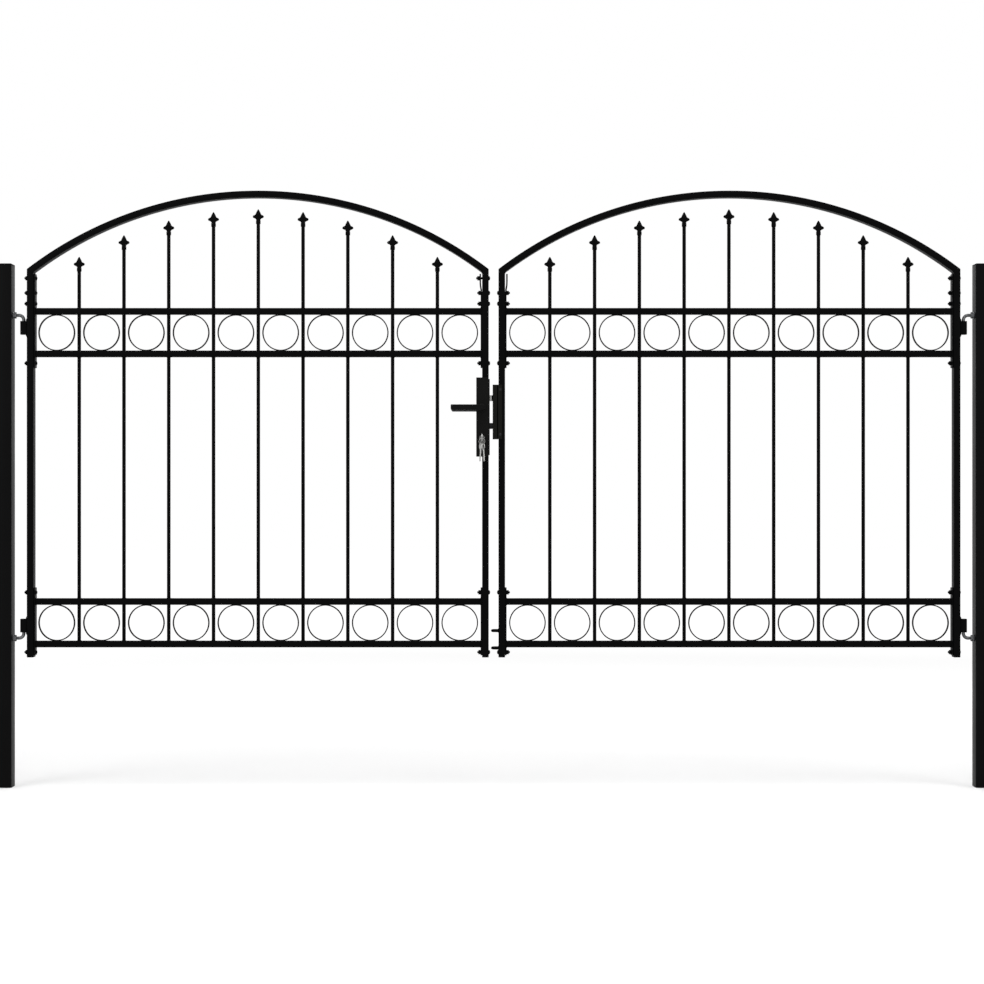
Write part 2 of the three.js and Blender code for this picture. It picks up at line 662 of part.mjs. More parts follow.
const bowCentreY = cylinderFace - KEY_STANDOFF - KEY_BOW / 2;
const keyEyeY = bowCentreY - KEY_BOW / 2 + KEY_EYE_MARGIN + KEY_EYE / 2;

// Flat key standing on edge in the cylinder: a bow with an eye and a blade.
function insertedKey(name) {
  const half = KEY_THICKNESS / 2;
  const halfBlade = KEY_BLADE / 2;
  const bow = round('x', KEY_BOW, lockAxis - half, lockAxis + half, [bowCentreY, cylinderHeight], 20);
  const eye = round('x', KEY_EYE, lockAxis - KEY_BOW, lockAxis + KEY_BOW, [keyEyeY, cylinderHeight], 12);
  const blade = block(
    [lockAxis - half, bowCentreY, cylinderHeight - halfBlade],
    [lockAxis + half, cylinderFace + KEY_INSERTION, cylinderHeight + halfBlade],
  );
  return piece(name, bow.add(blade).subtract(eye), keySteel);
}

const ringCentreZ = cylinderHeight - KEY_RING_DIAMETER / 2;

// Split ring through the key's eye, hanging in the plane of the gate.
function keyRing(name) {
  const wire = new THREE.TorusGeometry(KEY_RING_DIAMETER / 2, KEY_RING_WIRE / 2, 6, 20);
  wire.rotateX(Math.PI / 2);
  return piece(name, solid(wire.translate(lockAxis, keyEyeY, ringCentreZ)), keySteel);
}

// Spare key hanging from the ring, splayed to one side.
function spareKey(name, side) {
  const half = SPARE_KEY_THICKNESS / 2;
  const eyeDrop = SPARE_KEY_BOW / 2 - SPARE_KEY_EYE / 2 - SPARE_KEY_MARGIN;
  const bow = round('x', SPARE_KEY_BOW, -half, half, [0, -eyeDrop], 16);
  const eye = round('x', SPARE_KEY_EYE, -half - 1, half + 1, [0, 0], 10);
  const bladeTop = -eyeDrop - SPARE_KEY_BOW / 2 + SPARE_KEY_MARGIN;
  const blade = block(
    [-half, -SPARE_KEY_WIDTH / 2, bladeTop - SPARE_KEY_BLADE],
    [half, SPARE_KEY_WIDTH / 2, bladeTop],
  );
  const mesh = piece(name, bow.add(blade).subtract(eye), keySteel);
  const drop = Math.sqrt((KEY_RING_DIAMETER / 2) ** 2 - SPARE_KEY_SPREAD ** 2);
  mesh.position.set(lockAxis + side * SPARE_KEY_SPREAD, keyEyeY, ringCentreZ - drop);
  mesh.rotation.y = -side * SPARE_KEY_SPLAY;
  return mesh;
}

// ---------- right meeting stile's fittings, drawn in the right leaf's own frame ----------

// Keeper: a block that takes both bolts, with a flange lapped over the front of the stile.
function keeper(name) {
  const bottom = deadboltHeight - KEEPER_MARGIN;
  const top = latchHeight + KEEPER_MARGIN;
  const front = -FRAME_DEPTH / 2 - TOUCH_GAP;
  const inner = meetingEdge + TOUCH_GAP;
  let body = block([-keeperEdge, front - KEEPER_FLANGE, bottom], [-inner, FRAME_DEPTH / 2, top]);
  const lap = meetingEdge - KEEPER_LAP;
  body = body.add(block([-inner - 1, front - KEEPER_FLANGE, bottom], [-lap, front, top]));
  const pocket = keeperEdge - inner - KEEPER_BACK;
  for (const height of [latchHeight, deadboltHeight]) {
    body = body.subtract(boltChannel(height, -keeperEdge - 1, -keeperEdge + pocket));
  }
  return piece(name, body, lockBlack);
}

// Guide loop for a drop rod: a round rod bent into an eye and welded to the meeting stile.
function rodGuide(name, height) {
  const root = meetingEdge + TOUCH_GAP;
  const bendCentre = meetingEdge + GUIDE_REACH - GUIDE_ROD / 2 - GUIDE_BEND;
  const points = [new THREE.Vector3(-root, -GUIDE_BEND, height)];
  for (let i = 0; i <= GUIDE_BEND_STEPS; i += 1) {
    const angle = -Math.PI / 2 + Math.PI * (i / GUIDE_BEND_STEPS);
    const x = bendCentre + GUIDE_BEND * Math.cos(angle);
    points.push(new THREE.Vector3(-x, GUIDE_BEND * Math.sin(angle), height));
  }
  points.push(new THREE.Vector3(-root, GUIDE_BEND, height));
  return piece(name, bentRod(points, GUIDE_ROD, 8), steelBlack);
}

// ---------- assembly ----------

const gate = new THREE.Group();

for (const [side, hand, x] of [['left', 1, 0], ['right', -1, POST_SPACING]]) {
  const postGroup = new THREE.Group();
  postGroup.position.x = x;
  postGroup.add(post(`${side}_post`), postCap(`${side}_post_cap`));
  gate.add(postGroup);

  const hinges = new THREE.Group();
  hinges.position.set(x + hand * pinFromPost, 0, LEAF_CLEARANCE);
  for (const end of ['upper', 'lower']) hinges.add(hingeHook(`${side}_${end}_hinge_hook`, hand, end));
  gate.add(hinges);

  const leaf = new THREE.Group();
  leaf.position.copy(hinges.position);
  leaf.add(hingeStile(`${side}_hinge_stile`, hand));
  leaf.add(arch(`${side}_arch`, hand));
  for (const end of ['upper', 'lower']) leaf.add(ringBand(`${side}_${end}_ring_band`, hand, end));
  for (let i = 0; i < BAR_COUNT; i += 1) leaf.add(bar(`${side}_bar_${i + 1}`, hand, i));
  if (side === 'left') {
    leaf.add(lockStile('left_meeting_stile'), lockCase('lock_case'), facePlate('lock_faceplate'));
    leaf.add(bolt('latch_bolt', latchHeight, LATCH_TRAVEL, true, zinc));
    leaf.add(bolt('deadbolt', deadboltHeight, DEADBOLT_TRAVEL, false, lockBlack));
    leaf.add(leverHandle('lever_handle'), keyCylinder('key_cylinder'), insertedKey('key'));
    leaf.add(keyRing('key_ring'), spareKey('spare_key_1', -1), spareKey('spare_key_2', 1));
  } else {
    leaf.add(piece('right_meeting_stile', stile(-1, 1), steelBlack), keeper('keeper'));
    for (const end of ['upper', 'lower']) leaf.add(rodGuide(`${end}_rod_guide`, GUIDE_HEIGHTS[end]));
  }
  gate.add(leaf);
}

export default gate;
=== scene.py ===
import math

import bmesh
import bpy
from mathutils import Matrix, Vector, noise


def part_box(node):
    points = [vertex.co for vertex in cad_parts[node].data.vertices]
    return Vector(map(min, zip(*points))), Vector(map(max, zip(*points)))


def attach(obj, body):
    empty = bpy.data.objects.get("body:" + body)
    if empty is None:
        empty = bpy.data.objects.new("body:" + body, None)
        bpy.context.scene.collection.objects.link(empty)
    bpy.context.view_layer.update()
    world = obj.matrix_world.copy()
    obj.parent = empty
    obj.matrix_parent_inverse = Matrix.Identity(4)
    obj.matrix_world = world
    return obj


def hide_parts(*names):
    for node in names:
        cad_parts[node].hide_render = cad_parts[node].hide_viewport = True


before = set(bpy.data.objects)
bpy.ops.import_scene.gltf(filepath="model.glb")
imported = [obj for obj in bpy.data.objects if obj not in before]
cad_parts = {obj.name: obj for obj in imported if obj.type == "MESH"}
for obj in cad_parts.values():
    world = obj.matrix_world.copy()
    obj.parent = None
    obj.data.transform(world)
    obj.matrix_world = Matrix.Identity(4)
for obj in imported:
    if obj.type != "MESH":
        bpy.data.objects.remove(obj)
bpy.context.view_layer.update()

# ---------------------------------------------------------------- posts
# Two lengths of 60 mm square steel tube with rolled corners, each closed at its foot by a welded plate.
# They are powder-coated satin black all over, and bored right through for the hinge hooks.

MM = 0.001
HANDS = {"left": 1, "right": -1}
ENDS = ("lower", "upper")
POST_WALL = 2 * MM
POST_CORNER = 3 * MM
FOOT_PLATE = 3 * MM
HOOK_RADIUS = 5 * MM
HOOK_WASHER_RADIUS = 10.5 * MM
BORE_SPARE = 0.3 * MM
ARRIS = 0.4 * MM
ROUNDED_FROM = math.radians(40)
SHARP_FROM = math.radians(50)


def arc(radius, start, end, steps, centre=(0.0, 0.0)):
    """Evenly spaced points along an arc, with both of its ends."""
    points = []
    for step in range(steps + 1):
        angle = start + (end - start) * step / steps
        points.append((centre[0] + radius * math.cos(angle), centre[1] + radius * math.sin(angle)))
    return points


def circle(radius, sides):
    """Outline of a circle about the origin."""
    return arc(radius, 0, 2 * math.pi, sides)[:-1]


def rounded(width, depth, corner, steps=3):
    """Outline of a rectangle with round corners, anticlockwise about the origin."""
    outline = []
    for quarter, (x, y) in enumerate([(1, 1), (-1, 1), (-1, -1), (1, -1)]):
        centre = (x * (width / 2 - corner), y * (depth / 2 - corner))
        start = math.pi / 2 * quarter
        outline += arc(corner, start, start + math.pi / 2, steps, centre)
    return outline


def tube_walls(width, depth, wall, corner):
    """Outlines of a rectangular tube's outside and inside."""
    inside = rounded(width - 2 * wall, depth - 2 * wall, corner - wall)
    return rounded(width, depth, corner), inside


def laid(outline, axis, at, centre=(0.0, 0.0)):
    """Outline laid square to an axis, at a distance along it."""
    points = []
    for u, v in outline:
        a, b = u + centre[0], v + centre[1]
        points.append(Vector({"x": (at, a, b), "y": (a, at, b), "z": (a, b, at)}[axis]))
    return points


def skin(rings, closed=False):
    """Solid wrapped round rings of points, capped at both ends or joined up when closed."""
    count = len(rings[0])
    points = [point for ring in rings for point in ring]
    faces = []
    for i in range(len(rings) if closed else len(rings) - 1):
        near, far = i * count, (i + 1) % len(rings) * count
        for k in range(count):
            after = (k + 1) % count
            faces.append((near + k, near + after, far + after, far + k))
    if not closed:
        faces.append(tuple(reversed(range(count))))
        faces.append(tuple(range(len(points) - count, len(points))))
    return points, faces


def prism(outline, axis, start, end, centre=(0.0, 0.0)):
    """Solid with the same outline all along an axis."""
    return skin([laid(outline, axis, start, centre), laid(outline, axis, end, centre)])


def tube_length(walls, axis, start, end, centre, plate=0):
    """Length of tube with open ends, or with its start closed by a plate that thick."""
    outside, inside = walls
    rings = [laid(outside, axis, at, centre) for at in (start, end)]
    rings += [laid(inside, axis, at, centre) for at in (end, start + plate)]
    return skin(rings, closed=not plate)


def shown(name, data):
    """Object made of that data, put in the scene."""
    made = bpy.data.objects.new(name, data)
    bpy.context.scene.collection.objects.link(made)
    return made


def meshed(name, solids):
    """Mesh object made of closed solids, with its faces turned outwards."""
    points, faces = [], []
    for solid_points, solid_faces in solids:
        start = len(points)
        points += solid_points
        faces += [tuple(start + i for i in face) for face in solid_faces]
    mesh = bpy.data.meshes.new(name)
    mesh.from_pydata(points, [], faces)
    form = bmesh.new()
    form.from_mesh(mesh)
    bmesh.ops.recalc_face_normals(form, faces=form.faces)
    form.to_mesh(mesh)
    form.free()
    return shown(name, mesh)


def less(solid, *cutters):
    """What is left of a solid once the cutters are taken out of it."""
    stock = meshed("stock", [solid])
    tool = meshed("tool", cutters)
    modifier = stock.modifiers.new("cut", "BOOLEAN")
    modifier.operation = "DIFFERENCE"
    modifier.solver = "EXACT"
    modifier.object = tool
    bpy.context.view_layer.update()
    result = stock.evaluated_get(bpy.context.evaluated_depsgraph_get()).data
    points = [vertex.co.copy() for vertex in result.vertices]
    faces = [tuple(face.vertices) for face in result.polygons]
    for done in (stock, tool):
        bpy.data.objects.remove(done)
    return points, faces


def assemble(name, solids, finish, arris=ARRIS, segments=2):
    """One finished piece: its solids, their arrises rounded over by that much, and its finish."""
    made = meshed(name, solids)
    made.data.materials.append(finish)
    made.data.shade_smooth()
    if arris:
        rounding = made.modifiers.new("arris", "BEVEL")
        rounding.width = arris
        rounding.segments = segments
        rounding.limit_method = "ANGLE"
        rounding.angle_limit = ROUNDED_FROM
        rounding.harden_normals = True
        rounding.use_clamp_overlap = True
    else:
        made.data.set_sharp_from_angle(angle=SHARP_FROM)
    return made


class Wire:
    """A node's output, so that shader maths reads as an expression; node() adds any other node."""

    def __init__(self, tree, socket=None):
        self.tree = tree
        self.socket = socket

    def node(self, kind, settings=None, sockets=None, output=0):
        added = self.tree.nodes.new(kind)
        for name, value in (settings or {}).items():
            setattr(added, name, value)
        for name, value in (sockets or {}).items():
            if isinstance(value, Wire):
                self.tree.links.new(value.socket, added.inputs[name])
            else:
                added.inputs[name].default_value = value
        return Wire(self.tree, added.outputs[output] if added.outputs else None)

    def maths(self, operation, *values):
        return self.node("ShaderNodeMath", {"operation": operation}, dict(enumerate(values)))

    def __add__(self, other):
        return self.maths("ADD", self, other)

    def __sub__(self, other):
        return self.maths("SUBTRACT", self, other)

    def __rsub__(self, other):
        return self.maths("SUBTRACT", other, self)

    def __mul__(self, other):
        return self.maths("MULTIPLY", self, other)

    __radd__ = __add__
    __rmul__ = __mul__

    def within(self, low, high):
        """0 below low, 1 above high and even in between."""
        limits = {"From Min": low, "From Max": high}
        return self.node("ShaderNodeMapRange", {"clamp": True}, {"Value": self, **limits})

    def grain(self, scale, detail=2.0, roughness=0.5, stretch=None):
        """Noise in the gate's own measure, scale ripples to the metre."""
        place = self.node("ShaderNodeTexCoord", output="Object")
        if stretch:
            place = self.node("ShaderNodeMapping", None, {"Vector": place, "Scale": stretch})
        sockets = {"Vector": place, "Scale": scale, "Detail": detail, "Roughness": roughness}
        return self.node("ShaderNodeTexNoise", None, sockets)

    def between(self, first, second):
        """Colour that goes from the first to the second as this value goes from 0 to 1."""
        return self.node("ShaderNodeMix", {"data_type": "RGBA"}, {0: self, 6: first, 7: second}, 2)

    def raised(self, strength, distance, under=None):
        """Surface normal of this height, over another normal when one is given."""
        sockets = {"Height": self, "Strength": strength, "Distance": distance}
        if under:
            sockets["Normal"] = under
        return self.node("ShaderNodeBump", None, sockets)


def cleared(owner):
    """Start of a material's or world's shader, rid of the nodes it came with."""
    owner.use_nodes = True
    owner.node_tree.nodes.clear()
    return Wire(owner.node_tree)


def finish_named(name, surface):
    """Material whose principled shader has the sockets that surface() gives."""
    made = bpy.data.materials.new(name)
    start = cleared(made)
    shader = start.node("ShaderNodeBsdfPrincipled", None, surface(start))
    start.node("ShaderNodeOutputMaterial", None, {"Surface": shader})
    return made


def powder_coat(gloss):
    """Satin black powder: orange peel, faint clouding and a little dust on what faces up."""
    def surface(start):
        cloud = start.grain(7, 4)
        speckle = start.grain(900, 1)
        facing = start.node("ShaderNodeNewGeometry", output="Normal")
        upward = start.node("ShaderNodeSeparateXYZ", None, {0: facing}, 2)
        dust = upward.within(0.55, 1.0) * start.grain(60, 5, 0.7).within(0.42, 0.75)
        black = cloud.between((0.0009, 0.0009, 0.001, 1), (0.0019, 0.0019, 0.002, 1))
        flecked = (speckle.within(0.62, 0.8) * 0.3).between(black, (0.006, 0.006, 0.0065, 1))
        peel = start.grain(620, 2).raised(0.05, 0.12 * MM)
        return {
            "Base Color": (dust * 0.3).between(flecked, (0.022, 0.021, 0.02, 1)),
            "Roughness": 0.4 + 0.12 * cloud + 0.1 * dust,
            "Specular IOR Level": gloss,
            "Normal": start.grain(2600, 2).raised(0.04, 0.05 * MM, peel),
        }
    return surface


def middle_of(node):
    """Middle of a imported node's box."""
    low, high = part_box(node)
    return (low.x + high.x) / 2, (low.y + high.y) / 2, (low.z + high.z) / 2


def shank(side, end):
    """Middle of a hinge hook's level shank, at the post, and which way its pin turns."""
    low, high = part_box(f"{side}_{end}_hinge_hook")
    if end == "upper":
        return high.z - HOOK_WASHER_RADIUS, -1
    return low.z + HOOK_WASHER_RADIUS, 1


POST_GLOSS = 0.05
post_coat = finish_named("satin_black_powder", powder_coat(POST_GLOSS))

for side in HANDS:
    low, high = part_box(f"{side}_post")
    centre = middle_of(f"{side}_post")[:2]
    width = high.x - low.x
    walls = tube_walls(width, width, POST_WALL, POST_CORNER)
    tube = tube_length(walls, "z", low.z, high.z, centre, FOOT_PLATE)
    hole = circle(HOOK_RADIUS + BORE_SPARE, 24)
    bores = []
    for end in ENDS:
        place = (centre[1], shank(side, end)[0])
        bores.append(prism(hole, "x", low.x - MM, high.x + MM, place))
    post = assemble(f"{side}_post_tube", [less(tube, *bores)], post_coat)
    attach(post, "posts")
    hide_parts(f"{side}_post")

# ---------------------------------------------------------------- post caps
# Moulded plastic caps pressed into the tops of the posts to keep rain out.
# The lid has soft edges and a slightly domed top, and a ribbed spigot grips the inside of the tube.

CAP_DOME = 3 * MM
# the lid's edge, as pairs of how far in and how far up
CAP_EDGE = [(0, 0), (0.25, 0.9), (0.9, 1.6), (2.2, 2.1), (10, 2.7), (22, 3.0)]
RIB_DEPTH = 0.9 * MM
RIB_WIDTH = 3 * MM
RIB_START = 4 * MM
SPIGOT_LEAD = 2 * MM


def moulded_plastic(start):
    """Dull black plastic with the fine grain of its mould."""
    grain = start.grain(1900, 3, 0.6)
    cloud = start.grain(30, 3)
    return {
        "Base Color": cloud.between((0.0015, 0.0015, 0.0017, 1), (0.003, 0.003, 0.0032, 1)),
        "Roughness": 0.55 + 0.2 * grain,
        "Specular IOR Level": 0.05,
        "Normal": grain.raised(0.3, 0.12 * MM),
    }


plastic = finish_named("black_moulded_plastic", moulded_plastic)

for side in HANDS:
    low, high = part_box(f"{side}_post_cap")
    centre = middle_of(f"{side}_post_cap")[:2]
    width = high.x - low.x
    spigot = width - 2 * POST_WALL - 4 * RIB_DEPTH
    lid_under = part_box(f"{side}_post")[1].z + BORE_SPARE
    levels = [
        (spigot - SPIGOT_LEAD, low.z),
        (spigot, low.z + SPIGOT_LEAD),
        (spigot, lid_under),
        (width, lid_under),
    ]
    levels += [(width - 2 * inset * MM, high.z - CAP_DOME + rise * MM) for inset, rise in CAP_EDGE]
    solids = [skin([laid(rounded(size, size, POST_CORNER), "z", z, centre) for size, z in levels])]
    reach = spigot + 2 * RIB_DEPTH
    for offset in (-spigot / 4, spigot / 4):
        for size, place in (
            ((RIB_WIDTH, reach), (centre[0] + offset, centre[1])),
            ((reach, RIB_WIDTH), (centre[0], centre[1] + offset)),
        ):
            rib = rounded(*size, RIB_DEPTH)
            solids.append(prism(rib, "z", low.z + RIB_START, lid_under + MM, place))
    cap = assemble(f"{side}_post_lid", solids, plastic)
    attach(cap, "posts")
    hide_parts(f"{side}_post_cap")

# ---------------------------------------------------------------- hinge hooks
# Zinc-plated threaded rod, gone dull, 10 mm thick and bent square: its plain end is the leaf's pin.
# Each goes right through its post and is clamped there by a nut and washer on either face.

THROUGH = Vector((0, 1, 0))
THREAD_PITCH = 1.5 * MM
THREAD_DEPTH = 0.8 * MM
THREAD_STEPS = 6
THREAD_STOP = 4 * MM
THREAD_LEAD = 0.2
HOOK_SIDES = 24
HOOK_BEND = 14 * MM
HOOK_CHAMFER = 1.2 * MM
HOOK_TAPER = 0.8
BEND_STEPS = 10
NUT_FLATS = 17 * MM
NUT_THICKNESS = 8 * MM
NUT_SPARE = 0.05 * MM
WASHER_THICKNESS = 2 * MM
NUT_EDGE = 0.9 * MM / 17


def spun(profile, axis, centre, sides=24, closed=False, flats=math.inf, start=0.0, away=1):
    """Solid turned about an axis from pairs of distance and radius, and filed to flats that far apart.

    The distances count from start, in the direction that away gives.
    """
    rings = []
    for distance, radius in profile:
        outline = []
        for k in range(sides):
            angle = 2 * math.pi * k / sides
            off_flat = (angle + math.pi / 6) % (math.pi / 3) - math.pi / 6
            reach = min(radius, flats / 2 / math.cos(off_flat))
            outline.append((reach * math.cos(angle), reach * math.sin(angle)))
        rings.append(laid(outline, axis, start + away * distance, centre))
    return skin(rings, closed)


def nut(axis, centre, start, away, flats, thickness, hole):
    """Hexagon nut standing on start and reaching away from it, its edges only just broken."""
    corner = flats / 2 / math.cos(math.pi / 6)
    broken = flats * NUT_EDGE
    profile = [
        (0, hole),
        (0, flats / 2),
        (broken, corner),
        (thickness - broken, corner),
        (thickness, flats / 2),
        (thickness, hole + broken / 2),
        (thickness - broken, hole),
    ]
    return spun(profile, axis, centre, 36, True, flats, start, away)


def washer(axis, centre, start, away, radius, thickness, hole):
    """Flat punched washer with slightly rolled edges."""
    roll = thickness / 4
    profile = [
        (0, hole + roll),
        (0, radius - roll),
        (roll, radius),
        (thickness - roll, radius),
        (thickness, radius - roll),
        (thickness, hole + roll),
        (thickness - roll, hole),
        (roll, hole),
    ]
    return spun(profile, axis, centre, 32, True, start=start, away=away)


def swept(path, up, outlines, closed=False):
    """Solid that follows a flat path; each outline is given as pairs of sideways and up."""
    rings = []
    for i, point in enumerate(path):
        before = path[i - 1] if closed or i > 0 else point
        after = path[(i + 1) % len(path)] if closed or i < len(path) - 1 else point
        sideways = (after - before).normalized().cross(up).normalized()
        rings.append([point + u * sideways + v * up for u, v in outlines[i]])
    return skin(rings, closed)


def zinc_plate(start):
    """Zinc plating gone a little dull, in uneven patches, with fine drawn scratches along the rod."""
    patch = start.grain(140, 4, 0.65)
    scratch = start.grain(1100, 2, 0.6, stretch=(0.15, 1, 0.6))
    dull = patch.within(0.4, 0.7)
    return {
        "Base Color": dull.between((0.15, 0.153, 0.157, 1), (0.07, 0.07, 0.073, 1)),
        "Metallic": 1.0,
        "Roughness": 0.34 + 0.2 * dull + 0.08 * scratch,
        "Normal": scratch.raised(0.25, 0.06 * MM),
    }


zinc = finish_named("dulled_zinc_plate", zinc_plate)


def ends_along(node, hand):
    """Where a node ends along the gate: next to its own post first, then next to the other leaf."""
    low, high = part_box(node)
    return (low.x, high.x) if hand > 0 else (high.x, low.x)


def pin_of(side, end):
    """Where a hook's pin stands along the gate, and the height of its tip."""
    node = f"{side}_{end}_hinge_hook"
    low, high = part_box(node)
    hand = HANDS[side]
    return ends_along(node, hand)[1] - hand * HOOK_RADIUS, low.z if end == "upper" else high.z


def threaded_rod(tail_x, hand, height, threaded):
    """Path and outlines of a hook's threaded part, from its tail inwards."""
    step = THREAD_PITCH / THREAD_STEPS
    path, outlines = [], []
    for i in range(int(threaded / step) + 1):
        travel = i * step
        path.append(Vector((tail_x + hand * travel, 0, height)))
        fade = min(1, (threaded - travel) / THREAD_PITCH, THREAD_LEAD + travel / THREAD_PITCH)
        ring = []
        for k in range(HOOK_SIDES):
            phase = (travel / THREAD_PITCH - k / HOOK_SIDES) % 1
            radius = HOOK_RADIUS - THREAD_DEPTH * fade * abs(2 * phase - 1)
            radius -= max(0, HOOK_CHAMFER - travel) * HOOK_TAPER
            angle = 2 * math.pi * k / HOOK_SIDES
            ring.append((radius * math.cos(angle), radius * math.sin(angle)))
        outlines.append(ring)
    return path, outlines


for side, hand in HANDS.items():
    far, near = ends_along(f"{side}_post", hand)
    for end in ENDS:
        height, turn = shank(side, end)
        pin_x, tip_z = pin_of(side, end)
        tail_x = ends_along(f"{side}_{end}_hinge_hook", hand)[0]
        bend_x = pin_x - hand * HOOK_BEND
        path, outlines = threaded_rod(tail_x, hand, height, abs(bend_x - tail_x) - THREAD_STOP)
        for i in range(BEND_STEPS + 1):
            angle = math.pi / 2 * i / BEND_STEPS
            x = bend_x + hand * HOOK_BEND * math.sin(angle)
            z = height + turn * HOOK_BEND * (1 - math.cos(angle))
            path.append(Vector((x, 0, z)))
            outlines.append(circle(HOOK_RADIUS, HOOK_SIDES))
        for inset, chamfer in ((HOOK_CHAMFER, 0), (0, HOOK_CHAMFER)):
            path.append(Vector((pin_x, 0, tip_z - turn * inset)))
            outlines.append(circle(HOOK_RADIUS - chamfer, HOOK_SIDES))
        solids = [swept(path, THROUGH, outlines)]
        centre = (0, height)
        hole = HOOK_RADIUS + NUT_SPARE
        for face, away in ((near, hand), (far, -hand)):
            seat = face + away * BORE_SPARE
            nut_seat = seat + away * WASHER_THICKNESS
            solids.append(washer("x", centre, seat, away, HOOK_WASHER_RADIUS, WASHER_THICKNESS, hole))
            solids.append(nut("x", centre, nut_seat, away, NUT_FLATS, NUT_THICKNESS, hole))
        hook = assemble(f"{side}_{end}_hinge_rod", solids, zinc, arris=0)
        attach(hook, "posts")
        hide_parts(f"{side}_{end}_hinge_hook")

# ---------------------------------------------------------------- stiles
# The upright sides of each leaf: 20 x 40 mm rectangular steel tube, mitred to the arch, plugged below.
# The left meeting stile is cut out to take the lock, and keeps only its outer wall beside it.

FRAME_FACE = 20 * MM
FRAME_DEPTH = 40 * MM
FRAME_WALL = 1.5 * MM
FRAME_CORNER = 2 * MM
FRAME_TUBE = tube_walls(FRAME_FACE, FRAME_DEPTH, FRAME_WALL, FRAME_CORNER)
STILE_HEIGHT = 1186 * MM
MITRE_GAP = 0.15 * MM
PLUG_HEAD = 2 * MM
PLUG_REACH = 15 * MM
# a plug's edge, as pairs of how much narrower than the tube and how far up
PLUG_EDGE = [(2.4, 0), (0.8, 0.4), (0, 1.2)]
PLUG_LEAD = 2 * MM
SLOT_SPARE = 1.2 * MM
SLOT_CORNER = 0.5 * MM
SLOT_BEHIND = 20 * MM
OVERRUN = 5 * MM
LEAF_GLOSS = 0.028
coat = finish_named("fine_black_powder", powder_coat(LEAF_GLOSS))


class Leaf:
    """Where one leaf's frame stands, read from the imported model."""

    def __init__(self, side, hand):
        self.side = side
        self.hand = hand
        self.body = f"{side}_leaf"
        self.hinge_x = ends_along(f"{side}_hinge_stile", hand)[1] - hand * FRAME_FACE
        self.meet_x = ends_along(f"{side}_meeting_stile", hand)[1]
        self.middle = (self.hinge_x + self.meet_x) / 2
        self.half = abs(self.meet_x - self.hinge_x) / 2
        self.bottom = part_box(f"{side}_meeting_stile")[0].z
        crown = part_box(f"{side}_arch")[1].z
        rise = crown - self.bottom - STILE_HEIGHT
        self.radius = (self.half ** 2 + rise ** 2) / (2 * rise)
        self.arch_z = crown - self.radius

    def x_at(self, edge, inset=0):
        """Place along the gate that far in from an edge: -1 at the hinges, 1 where the leaves meet."""
        return self.middle + edge * self.hand * (self.half - inset)

    def mitre_z(self, inset):
        """Height of the mitre that far in from the leaf's edge."""
        reach = self.radius - inset
        return self.arch_z + math.sqrt(reach ** 2 - (self.half - inset) ** 2)


leaves = [Leaf(side, hand) for side, hand in HANDS.items()]


def mitred_tube(leaf, edge):
    """Stile's tube from above its plug up to the mitre."""
    centre = (leaf.x_at(edge, FRAME_FACE / 2), 0)
    outside, inside = FRAME_TUBE
    start = leaf.bottom + PLUG_HEAD
    rings = [laid(outside, "z", start, centre)]
    for outline in FRAME_TUBE:
        ring = laid(outline, "z", 0, centre)
        for point in ring:
            point.z = leaf.mitre_z(abs(leaf.x_at(edge) - point.x)) - MITRE_GAP
        rings.append(ring)
    rings.append(laid(inside, "z", start, centre))
    return skin(rings, closed=True)


def bolt_slots(end, start=None):
    """Cutters for the slots of latch and deadbolt, from start or else from behind each bolt."""
    slots = []
    for node in ("latch_bolt", "deadbolt"):
        low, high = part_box(node)
        outline = rounded(high.y - low.y + SLOT_SPARE, high.z - low.z + SLOT_SPARE, SLOT_CORNER)
        begin = low.x - SLOT_BEHIND if start is None else start
        slots.append(prism(outline, "x", begin, end, (0, middle_of(node)[2])))
    return slots


def cut_in_turn(solid, cutters):
    """What is left of a solid once cutters that may cross each other are taken out one by one."""
    for cutter in cutters:
        solid = less(solid, cutter)
    return solid


